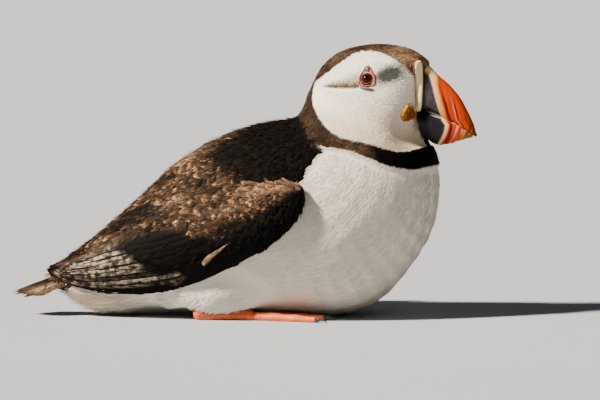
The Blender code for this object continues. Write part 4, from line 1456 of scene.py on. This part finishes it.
def upper_bill_finish():
    """Slate, band and grooved red, with a plain ridge, a pale brow and lip, a dark seam, and painted shade
    in the nostril slit and the mouth's corner.
    """
    f = Finish("upper bill")
    ahead, share, x, _ = f.marks("horn")
    colour, shine, normal = banded_horn(f, ahead, UPPER_STOPS, (0.095, 0.075, 0.095))
    plain = f.mix(x.rise(111.5, 117), HORN_RED, (0.20, 0.045, 0.006))
    colour = f.mix((share.rise(0.42, 0.80) * ahead.rise(3.1, 3.6) * 0.9).kept(), colour, plain)
    low_band = (1 - share.rise(0.15, 0.75)) * ahead.rise(0.0, 0.6) * (1 - ahead.rise(2.4, 3.0))
    colour = f.mix((low_band * 0.75).kept(), colour, (0.62, 0.20, 0.008))
    brow = share.rise(0.80, 0.95) * (1 - ahead.rise(1.5, 3.5)) * ahead.rise(-9, -4)
    colour = f.mix(brow.kept(), colour, (0.86, 0.56, 0.20))
    lip = share.line(0.045, 0.03) * (1 - ahead.rise(-0.4, 0.4))
    colour = f.mix((lip * 0.7).kept(), colour, (0.62, 0.58, 0.55))
    # Painted shade in the nostril slit and in the mouth's corner, and a dark seam at the base.
    slit_shade = share.line(0.12, 0.045) * x.rise(93.2, 95) * (1 - x.rise(99.5, 101.5))
    corner = (1 - x.rise(92.6, 97)) * (1 - share.rise(0.05, 0.22))
    seam = (1 - x.rise(91.8, 92.5)) * (1 - share.rise(0.80, 0.92))
    colour = f.mix((slit_shade + corner + seam).kept(), colour, SHADE_AND_SEAM_BLACK)
    colour = f.mix((x.rise(113, 117.5) * 0.8).kept(), colour, (0.11, 0.040, 0.008))
    return f.done(Base_Color=colour, Roughness=shine, Normal=normal, Specular_IOR_Level=0.1)


def lower_bill_finish():
    """The same bands on slate painted darker with shade, with painted shade in the mouth's corner, a brown
    tip and a worn lip.
    """
    f = Finish("lower bill")
    ahead, share, x, _ = f.marks("horn")
    # The slate and its streaks are painted darker with shade, and the mouth's corner gets painted shade.
    colour, shine, normal = banded_horn(f, ahead, LOWER_STOPS, (0.022, 0.018, 0.018))
    corner = (1 - x.rise(93, 98)) * share.rise(0.55, 0.8)
    colour = f.mix(corner.kept(), colour, SHADE_AND_SEAM_BLACK)
    colour = f.mix((x.rise(110, 114) * 0.75).kept(), colour, (0.16, 0.07, 0.02))
    lip = share.line(0.93, 0.05) * x.rise(94, 96)
    colour = f.mix((lip * 0.6).kept(), colour, (0.55, 0.45, 0.40))
    return f.done(Base_Color=colour, Roughness=shine, Normal=normal, Specular_IOR_Level=0.12)


def rim_finish():
    """Cream horn, browner in streaks and at its rear edge, with a painted shadow along its front edge."""
    f = Finish("bill rim")
    across = f.marks("horn")[0]
    fine = f.noise(900, 4)
    streaks = f.noise(1300, 2, f.stretched((1, 1, 0.2)))
    colour = f.mix(fine, (0.98, 0.80, 0.43), (0.92, 0.66, 0.29))
    colour = f.mix((streaks.rise(0.5, 0.75) * 0.35).kept(), colour, (0.66, 0.40, 0.18))
    colour = f.mix(((1 - across.rise(0.0, 0.22)) * 0.9).kept(), colour, (0.34, 0.13, 0.06))
    # A painted shadow along the front edge, where the rim stands over the slate.
    colour = f.mix(across.rise(0.86, 1.0), colour, (0.10, 0.05, 0.03))
    return f.done(Base_Color=colour, Roughness=0.5 + 0.15 * fine, Normal=f.bump(fine + streaks, 0.08, 0.5))


def rim_bed(surfaces, rows=72, columns=14):
    """Where the rim lies on the right side of the straight head, rear edge to front edge, bottom to top."""
    edges = drawn_through(RIM_EDGES, rows)
    bed = np.empty((rows, columns, 3))
    for r, (z, rear, front) in enumerate(edges):
        for c, x in enumerate(np.linspace(rear, front, columns)):
            met = [spot for spot in (against(surface, x, z, -1) for surface in surfaces) if spot]
            nearest = min((spot[0] for spot in met), key=lambda spot: spot.y, default=None)
            bed[r, c] = nearest if nearest is not None else bed[r, c - 1]
    bed = straighten(bed.reshape(-1, 3))[0].reshape(bed.shape)
    for _ in range(12):
        bed[1:-1] = (bed[:-2] + bed[1:-1] * 2 + bed[2:]) / 4
        bed[:, 1:-1] = (bed[:, :-2] + bed[:, 1:-1] * 2 + bed[:, 2:]) / 4
    return bed


def mirrored(points, faces):
    """Both sides of the head from the right side's places."""
    flat = points.reshape(-1, 3)
    return np.concatenate((flat, flat * (1, -1, 1))), np.concatenate((faces, faces[:, ::-1] + len(flat)))


def make_rim(bed):
    """The cream rim at the base of the bill: a rounded band laid along its bed."""
    rows, columns, _ = bed.shape
    across = np.linspace(0, 1, columns)
    ends = np.clip(np.minimum(np.arange(rows), np.arange(rows)[::-1]) / 6, 0, 1) ** 0.5
    swell = 1.3 * (1 - np.abs(2 * across - 1) ** 3) ** 0.6 * ends[:, None]
    out = unit(np.array([0.45, -1.0, 0.0]))
    over = bed + out * (swell - 0.1)[..., None]
    under = bed[:, ::-1][:, 1:-1:3] - out * 1.4
    band = np.concatenate((over, under), axis=1)
    points, faces = mirrored(band, ring_faces(rows, band.shape[1]))
    place = np.concatenate((across, across[::-1][1:-1:3]))
    up = np.linspace(0, 1, rows)[:, None]
    marks = np.stack(np.broadcast_arrays(place, up, band[..., 0], band[..., 2]), axis=-1).reshape(-1, 4)
    made = piece("bill_rim", in_head(points), faces, rim_finish(), {"horn": np.concatenate((marks, marks))})
    settle(facing_out(made), "bill_rim", "bill_rim")


def feather_edge(bed):
    """The rusty knobs between the face's feathers and the bill's rim."""
    rings, spokes = 8, 10
    angle = np.linspace(0.06, math.pi - 0.06, rings)[:, None]
    turn = round_turn(spokes)
    ball = np.sin(angle) * np.cos(turn), np.sin(angle) * np.sin(turn), np.cos(angle) + 0 * turn
    ball = np.stack(ball, axis=-1)
    spots = bed[16:52:2, 0]
    size = 0.22 + 0.16 * chance.random((len(spots), 1, 1, 1))
    wander = 0.35 * (chance.random((len(spots), 1)) - 0.5) * (1, 0, 0)
    knobs = (spots + wander - (0.15, 1.1, 0))[:, None, None] + ball * size * (0.9, 0.8, 1.3)
    faces = ring_faces(rings, spokes)
    faces = np.concatenate([faces + i * rings * spokes for i in range(len(spots))])
    points, faces = mirrored(knobs, faces)
    rust = wrinkled_finish("feather edge", (0.34, 0.12, 0.03), (0.15, 0.045, 0.012), 1500, 0.6)
    settle(facing_out(piece("feather_edge", in_head(points), faces, rust)), "rosette_skin")


def make_bill(skin_surface):
    top = horn(
        "upper_bill", UPPER_ROWS, UPPER_FULLNESS, upper_bill_finish(), "bill_horn", "bill_upper", 170, 180,
        upper_relief,
    )  # fmt: skip
    horn(
        "lower_bill", LOWER_ROWS, LOWER_FULLNESS, lower_bill_finish(), "bill_slate", "bill_lower", 150, 140,
        lower_relief,
    )  # fmt: skip
    bed = rim_bed((skin_surface, surface_of(top.data)))
    make_rim(bed)
    feather_edge(bed)


# ----------------------------------------------------------------------------------- eyes and rosettes


class Seat:
    """A place on the skin at the side of the head: where it is, and the ways ahead, up and out."""

    def __init__(self, surface, x, z, sign):
        self.surface = surface
        self.sign = sign
        self.spot, out = self.meet(x, z)
        beside = [self.meet(x + dx, z + dz) for dx, dz in ((1.5, 0), (-3, 0), (0, 3), (0, -3))]
        self.face(unit(np.mean([out] + [met[1] for met in beside if met], axis=0)))

    def face(self, out):
        up = np.array([0, 0, 1.0])
        self.out = out
        self.up = unit(up - out * (up @ out))
        self.ahead = np.cross(self.up, out) * -self.sign

    def meet(self, x, z):
        start, end = in_head([(x, self.sign * 60, z), (x, 0, z)])
        found, normal, _, _ = self.surface.ray_cast(Vector(start), Vector(end - start).normalized())
        return (np.array(found), np.array(normal)) if found else None

    def at(self, ahead, up, out):
        """Places beside the seat, in millimetres along its three ways."""
        ahead, up, out = (np.asarray(v, float)[..., None] * MM for v in (ahead, up, out))
        return self.spot + self.ahead * ahead + self.up * up + self.out * out

    def laid(self, ahead, up, out):
        """The same, but following the skin's curve."""
        flat = self.at(ahead, up, np.zeros_like(ahead))
        shape = flat.shape
        found = [np.array(self.surface.find_nearest(Vector(p))[0]) for p in flat.reshape(-1, 3)]
        return np.array(found).reshape(shape) + self.out * (np.asarray(out)[..., None] * MM)


def facing_out(made):
    """Makes a closed piece's faces look outwards."""
    shape = bmesh.new()
    shape.from_mesh(made.data)
    bmesh.ops.recalc_face_normals(shape, faces=shape.faces)
    shape.to_mesh(made.data)
    shape.free()
    return made


def pad(name, seat, middle, outline, height, finish, wrinkles=None, grid=(18, 72)):
    """A raised pad of bare skin or horn. outline and wrinkles take angles from straight ahead."""
    rings, spokes = grid
    turn = round_turn(spokes)
    reach = np.concatenate((np.linspace(0.01, 1, rings), (0.98, 0.5, 0.02)))
    r = reach[:, None] * outline(turn)
    dome = height * np.sqrt(1 - np.linspace(0, 1, rings) ** 2.2)
    rise = np.concatenate((dome, (-0.5, -0.8, -0.9)))[:, None] + np.zeros_like(r)
    if wrinkles:
        rise[:rings] += wrinkles(reach[:rings, None], turn)
    points = seat.laid(middle[0] + r * np.cos(turn), middle[1] + r * np.sin(turn), rise)
    marks = np.stack(np.broadcast_arrays(reach[:, None], np.cos(turn), np.sin(turn), rise), axis=-1)
    faces = ring_faces(len(reach), spokes)
    return facing_out(piece(name, points.reshape(-1, 3), faces, finish, {"pad": marks.reshape(-1, 4)}))


def loop_tube(name, path, radius, finish, sides=12):
    """A closed tube round a path, with its own thickness at each place."""
    forward = unit(np.roll(path, -1, 0) - np.roll(path, 1, 0))
    away = path - path.mean(0)
    away = unit(away - forward * (away * forward).sum(1, keepdims=True))
    up = np.cross(forward, away)
    turn = round_turn(sides)
    ring = away[:, None] * np.cos(turn)[:, None] + up[:, None] * np.sin(turn)[:, None]
    points = path[:, None] + ring * (radius * MM)[:, None, None]
    faces = ring_faces(len(points) + 1, sides) % (len(points) * sides)
    return facing_out(piece(name, points.reshape(-1, 3), faces, finish))


EYE_RADIUS = 4.2
CORNEA = (0.72, 0.035)  # the half angle of the clear bulge, and its rise as a share of the radius


def eyeball(name, seat, centre, finish):
    """The ball and the clear bulge in front of it, with how far each place lies from the pupil's middle."""
    rings, spokes = 56, 64
    angle = np.linspace(0.004, math.pi - 0.004, rings)
    turn = round_turn(spokes)
    opening, bulge = CORNEA
    reach = EYE_RADIUS * (1 + bulge * np.clip(1 - (angle / opening) ** 2, 0, 1))
    off = (reach * np.sin(angle))[:, None]
    ahead = seat.ahead * (off * np.cos(turn))[..., None]
    up = seat.up * (off * np.sin(turn))[..., None]
    out = unit(seat.out) * ((reach * np.cos(angle))[:, None] + 0 * turn)[..., None]
    points = centre + (ahead + up + out) * MM
    marks = np.stack(np.broadcast_arrays(off, np.cos(turn), np.sin(turn), off), axis=-1).reshape(-1, 4)
    faces = ring_faces(rings, spokes)
    return facing_out(piece(name, points.reshape(-1, 3), faces, finish, {"gaze": marks}))


def eye_finish():
    """A black pupil in a dark brown iris, under one clear, glossy surface."""
    f = Finish("eye")
    gap = f.marks("gaze")[0]
    streaks = f.noise(900, 3)
    iris = f.mix(gap.rise(1.1, 2.7), (0.010, 0.003, 0.001), (0.040, 0.012, 0.0035))
    iris = f.mix((streaks * 0.7).kept(), iris, (0.026, 0.010, 0.004))
    colour = f.mix(gap.rise(1.05, 1.2), (0.001, 0.001, 0.0015), iris)
    normal = f.bump(streaks, 0.01, 0.1)
    shine = 0.10 + 0.03 * streaks
    return f.done(Base_Color=colour, Roughness=shine, Normal=normal, Specular_IOR_Level=0.1, IOR=1.38)


def wrinkled_finish(name, first, second, size, roughness=0.42):
    """Bare skin or rough horn: small cells of one colour in another."""
    f = Finish(name)
    cells = f.cells(size)
    fine = f.noise(size * 1.5, 3)
    colour = f.mix((cells * 0.8 + fine * 0.4).kept(), first, second)
    normal = f.bump(cells + fine, 0.10, 0.5)
    return f.done(Base_Color=colour, Roughness=roughness + 0.2 * fine, Normal=normal)


def rosette_finish():
    """Yellow skin, orange in its middle, and painted shade on the side away from the light, in uneven
    blotches.
    """
    f = Finish("rosette")
    reach, across, up, _ = f.marks("pad")
    fine = f.noise(900, 4)
    streaks = f.noise(1500, 2)
    # Painted light: lighter above and towards the rear, painted shade below and ahead.
    painted_light = ((up * 0.8 - across * 0.45) * 0.6 + 0.45 + (fine - 0.5) * 0.7).kept()
    outer = f.mix(painted_light, (0.20, 0.034, 0.0), (0.47, 0.22, 0.0))
    inner = f.mix(fine, (0.08, 0.010, 0.0), (0.26, 0.060, 0.0))
    colour = f.mix((reach.rise(0.45, 0.85)).kept(), inner, outer)
    normal = f.bump(streaks + fine, 0.12, 0.6)
    return f.done(Base_Color=colour, Roughness=0.42 + 0.2 * fine, Normal=normal, Specular_IOR_Level=0.2)


def rosette_outline(turn):
    return 4.7 + 0.2 * np.cos(3 * turn + 0.6) + 0.35 * np.sin(turn) + 0.14 * np.cos(9 * turn)


def oval_outline(turn, length, height, tilt):
    """How far an oval reaches at each angle, with half its length and height, turned down at the front."""
    turn = turn + tilt
    return 1 / np.sqrt((np.cos(turn) / length) ** 2 + (np.sin(turn) / height) ** 2)


def fold_outline(turn):
    return oval_outline(turn, 2.6, 1.1, -0.5)


def rosette_wrinkles(reach, turn):
    folds = np.sin(11 * turn + 5 * reach) * 0.20 * reach
    rings = np.sin(17 * reach + 1.2 * np.sin(3 * turn)) * 0.18
    parting = -0.55 * np.exp(-((np.cos(turn - 0.2) * reach * 4.6 - 0.6) ** 2 / 0.25))
    return folds + rings + parting * np.exp(-((reach * 1.5) ** 2))


def swell_at(turn, angle, width, height):
    """A smooth swelling of an outline towards one angle, in degrees."""
    gap = (np.degrees(turn) - angle + 180) % 360 - 180
    return height * np.exp(-((gap / width) ** 2))


def lid_outline(turn):
    """The bare skin round the eye: three-cornered, with its peak above."""
    return (
        3.9 + swell_at(turn, 90, 24, 2.7) + swell_at(turn, 0, 35, 0.2)
        + swell_at(turn, 222, 20, 1.25) + swell_at(turn, 320, 20, 1.3)
    )  # fmt: skip


def plate_over_outline(turn):
    lower_corners = swell_at(turn, 225, 30, 0.35) + swell_at(turn, 315, 30, 0.35)
    return 1.25 + swell_at(turn, 90, 34, 1.15) + lower_corners


def plate_under_outline(turn):
    return oval_outline(turn, 4.2, 0.95, 0.2)


def lid_wrinkles(reach, turn):
    return 0.09 * np.sin(26 * reach + 0.8 * np.sin(5 * turn)) + 0.06 * np.sin(31 * turn) * reach


# Each plate: whether it lies over or under the eye, its middle from the eye's, its outline and height
EYE_PLATES = (
    ("over", (-0.1, 4.55), plate_over_outline, 1.25), ("under", (0.1, -5.35), plate_under_outline, 1.1),
)  # fmt: skip
ROSETTE_AT = (85.3, 103.9)
MOUTH_CORNER = (84.0, 101.3)  # as seen from the side


def make_eye(sign, word, surface, finishes):
    """The eyeball, the bare skin round it with its red ring and lid, and the two horny plates."""
    seat = Seat(surface, *EYE_AT, sign)
    centre = np.array(middle_of(f"eye_{word}"))
    seat.face(unit(seat.spot - centre))
    settle(eyeball(f"eye_{word}", seat, centre, finishes["eye"]), "eye", f"eye_{word}")
    lid = pad(f"eye_skin_{word}", seat, (0, 0), lid_outline, 0.62, finishes["skin"], lid_wrinkles, (26, 96))
    settle(lid, "eye_ring_skin")
    turn = round_turn(120)
    r = lid_outline(turn) - 0.1
    path = seat.laid(r * np.cos(turn), r * np.sin(turn), 0.35 + 0 * turn)
    radius = 0.40 + 0.07 * np.sin(3 * turn) + 0.03 * np.sin(19 * turn)
    ring = loop_tube(f"eye_ring_{word}", path, radius, finishes["ring"])
    settle(ring, "eye_ring_skin", f"eye_ring_{word}")
    r = 2.95 + swell_at(turn, 90, 30, 0.25)
    path = seat.at(r * np.cos(turn), r * np.sin(turn), 0.68 + 0 * turn)
    edge = loop_tube(f"eye_lid_{word}", path, 0.24 + 0.03 * np.sin(13 * turn), finishes["lid"])
    settle(edge, "eye_ring_skin")
    for level, middle, outline, height in EYE_PLATES:
        name = f"eye_plate_{level}_{word}"
        plate = pad(name, seat, middle, outline, height, finishes[f"plate {level}"])
        settle(plate, "eye_plate_horn", name)


def make_face(surface):
    """Eyes, and the rosette and fold of yellow skin at each corner of the mouth."""
    finishes = {
        "eye": eye_finish(),
        "ring": wrinkled_finish("eye ring", (0.40, 0.040, 0.018), (0.12, 0.010, 0.005), 1400),
        "skin": wrinkled_finish("bare eye skin", (0.55, 0.25, 0.17), (0.30, 0.06, 0.03), 1400),
        "lid": wrinkled_finish("eye lid", (0.24, 0.028, 0.014), (0.10, 0.010, 0.006), 1600),
        "plate over": wrinkled_finish("eye plate", (0.15, 0.105, 0.095), (0.06, 0.045, 0.045), 1200),
        "plate under": wrinkled_finish("lower eye plate", (0.10, 0.11, 0.105), (0.05, 0.055, 0.055), 1200),
    }
    yellow = rosette_finish()
    gape = straighten(np.array([against(surface, *MOUTH_CORNER, -1)[0]]))[0][0, ::2]
    for sign, word in SIDES:
        make_eye(sign, word, surface, finishes)
        seat = Seat(surface, *ROSETTE_AT, sign)
        name = f"rosette_{word}"
        made = pad(name, seat, (0, 0), rosette_outline, 1.9, yellow, rosette_wrinkles, (26, 120))
        settle(made, "rosette_skin", name)
        corner = Seat(surface, *gape, sign)
        name = f"gape_fold_{word}"
        fold = pad(name, corner, (0, 0), fold_outline, 1.7, yellow, rosette_wrinkles, (14, 60))
        settle(fold, "rosette_skin")


# ------------------------------------------------------------------------------------------------ legs


def leg_finish():
    """Orange skin in small scales, redder and sunk between them."""
    f = Finish("leg skin")
    scutes = f.cells(620, "DISTANCE_TO_EDGE")
    fine = f.noise(500, 4)
    colour = f.mix(fine, (0.80, 0.17, 0.015), (0.62, 0.075, 0.012))
    creases = 1 - scutes.rise(0.02, 0.12)
    colour = f.mix((creases * 0.5).kept(), colour, (0.30, 0.03, 0.01))
    normal = f.bump(scutes.rise(0, 0.15), 0.2, 0.6)
    return f.done(Base_Color=colour, Roughness=0.40 + 0.2 * fine, Normal=normal)


def claw_finish():
    f = Finish("claw horn")
    streaks = f.noise(900, 3, f.stretched((0.2, 1, 1)))
    colour = f.mix(streaks, (0.012, 0.010, 0.010), (0.05, 0.04, 0.035))
    return f.done(Base_Color=colour, Roughness=0.28 + 0.15 * streaks, Normal=f.bump(streaks, 0.04, 0.4))


def make_legs():
    """The bare lower legs, each in one skin with its webbed foot, and the claws."""
    skin, dark = leg_finish(), claw_finish()
    for _, word in SIDES:
        nodes = (f"tarsus_{word}", f"foot_{word}")
        leg = recast(f"leg_{word}", nodes, skin, voxel=0.35, smoothing=4, swell=0.15)
        settle(leg, "leg_skin", *nodes)
        for toe in ("inner", "middle", "outer"):
            node = f"claw_{toe}_{word}"
            claw = recast(f"fine_{node}", (node,), dark, voxel=0.12, smoothing=3)
            settle(claw, "claw_horn", node)


# ------------------------------------------------------------------------------------------ the stand


FLOOR_REACH = 30.0  # metres


def floor_finish():
    f = Finish("pale floor")
    tone = f.noise(3, 2)
    return f.done(Base_Color=f.mix(tone, (0.36, 0.375, 0.40), (0.385, 0.40, 0.425)), Roughness=0.9)


def stage():
    corners = np.array([(-1, -1, 0), (1, -1, 0), (1, 1, 0), (-1, 1, 0)]) * FLOOR_REACH
    piece("floor", corners, np.array([[0, 1, 2, 3]]), floor_finish())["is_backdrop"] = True


def lamp(name, kind, place, target, energy, colour, **settings):
    light = bpy.data.lights.new(name, kind)
    light.energy = energy
    light.color = colour
    for setting, value in settings.items():
        setattr(light, setting, value)
    made = bpy.data.objects.new(name, light)
    made.location = place
    made.rotation_euler = (Vector(target) - Vector(place)).to_track_quat("-Z", "Y").to_euler()
    bpy.context.scene.collection.objects.link(made)


def studio():
    """A warm sun high to the left, a cool soft light from the right, and a faint blue sky."""
    middle = (0.01, 0, 0.07)
    lamp("key", "SUN", (-3.9, -1.6, 3.9), middle, 14.0, (1.0, 0.93, 0.82), angle=math.radians(6))
    lamp("fill", "AREA", (3.5, -3.0, 1.6), middle, 4.5, (0.93, 0.96, 1.0), shape="DISK", size=3.0)
    world = bpy.data.worlds.new("studio")
    world.use_nodes = True
    sky = world.node_tree.nodes["Background"].inputs
    sky["Color"].default_value = (0.80, 0.87, 0.95, 1)
    sky["Strength"].default_value = 0.10
    bpy.context.scene.world = world


LENS, SENSOR, VIEW_WIDTH = 250.0, 36.0, 0.306
VIEW_ELEVATION = math.radians(4.0)


def camera():
    """A long lens at the bird's right side, a little above it."""
    x, z = VIEW_MIDDLE
    target = Vector((x * MM + ZERO[0] * MM, 0, z * MM))
    data = bpy.data.cameras.new("camera")
    data.lens = LENS
    data.sensor_width = SENSOR
    data.clip_end = 100
    made = bpy.data.objects.new("camera", data)
    away = Vector((0, -math.cos(VIEW_ELEVATION), math.sin(VIEW_ELEVATION)))
    made.location = target + away * (VIEW_WIDTH * LENS / SENSOR)
    made.rotation_euler = (-away).to_track_quat("-Z", "Y").to_euler()
    bpy.context.scene.collection.objects.link(made)
    bpy.context.scene.camera = made


def main():
    plumage = plumage_finish()
    skin = make_skin(plumage)
    make_coat(skin, plumage)
    make_wings(plumage)
    make_tail(plumage)
    skin_surface = surface_of(skin.data)
    make_bill(skin_surface)
    make_face(skin_surface)
    make_legs()
    stage()
    studio()
    camera()


main()
boxes = {"cad": cad_box, "visual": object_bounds()}
{name: [list(corner) for corner in box] for name, box in boxes.items()}
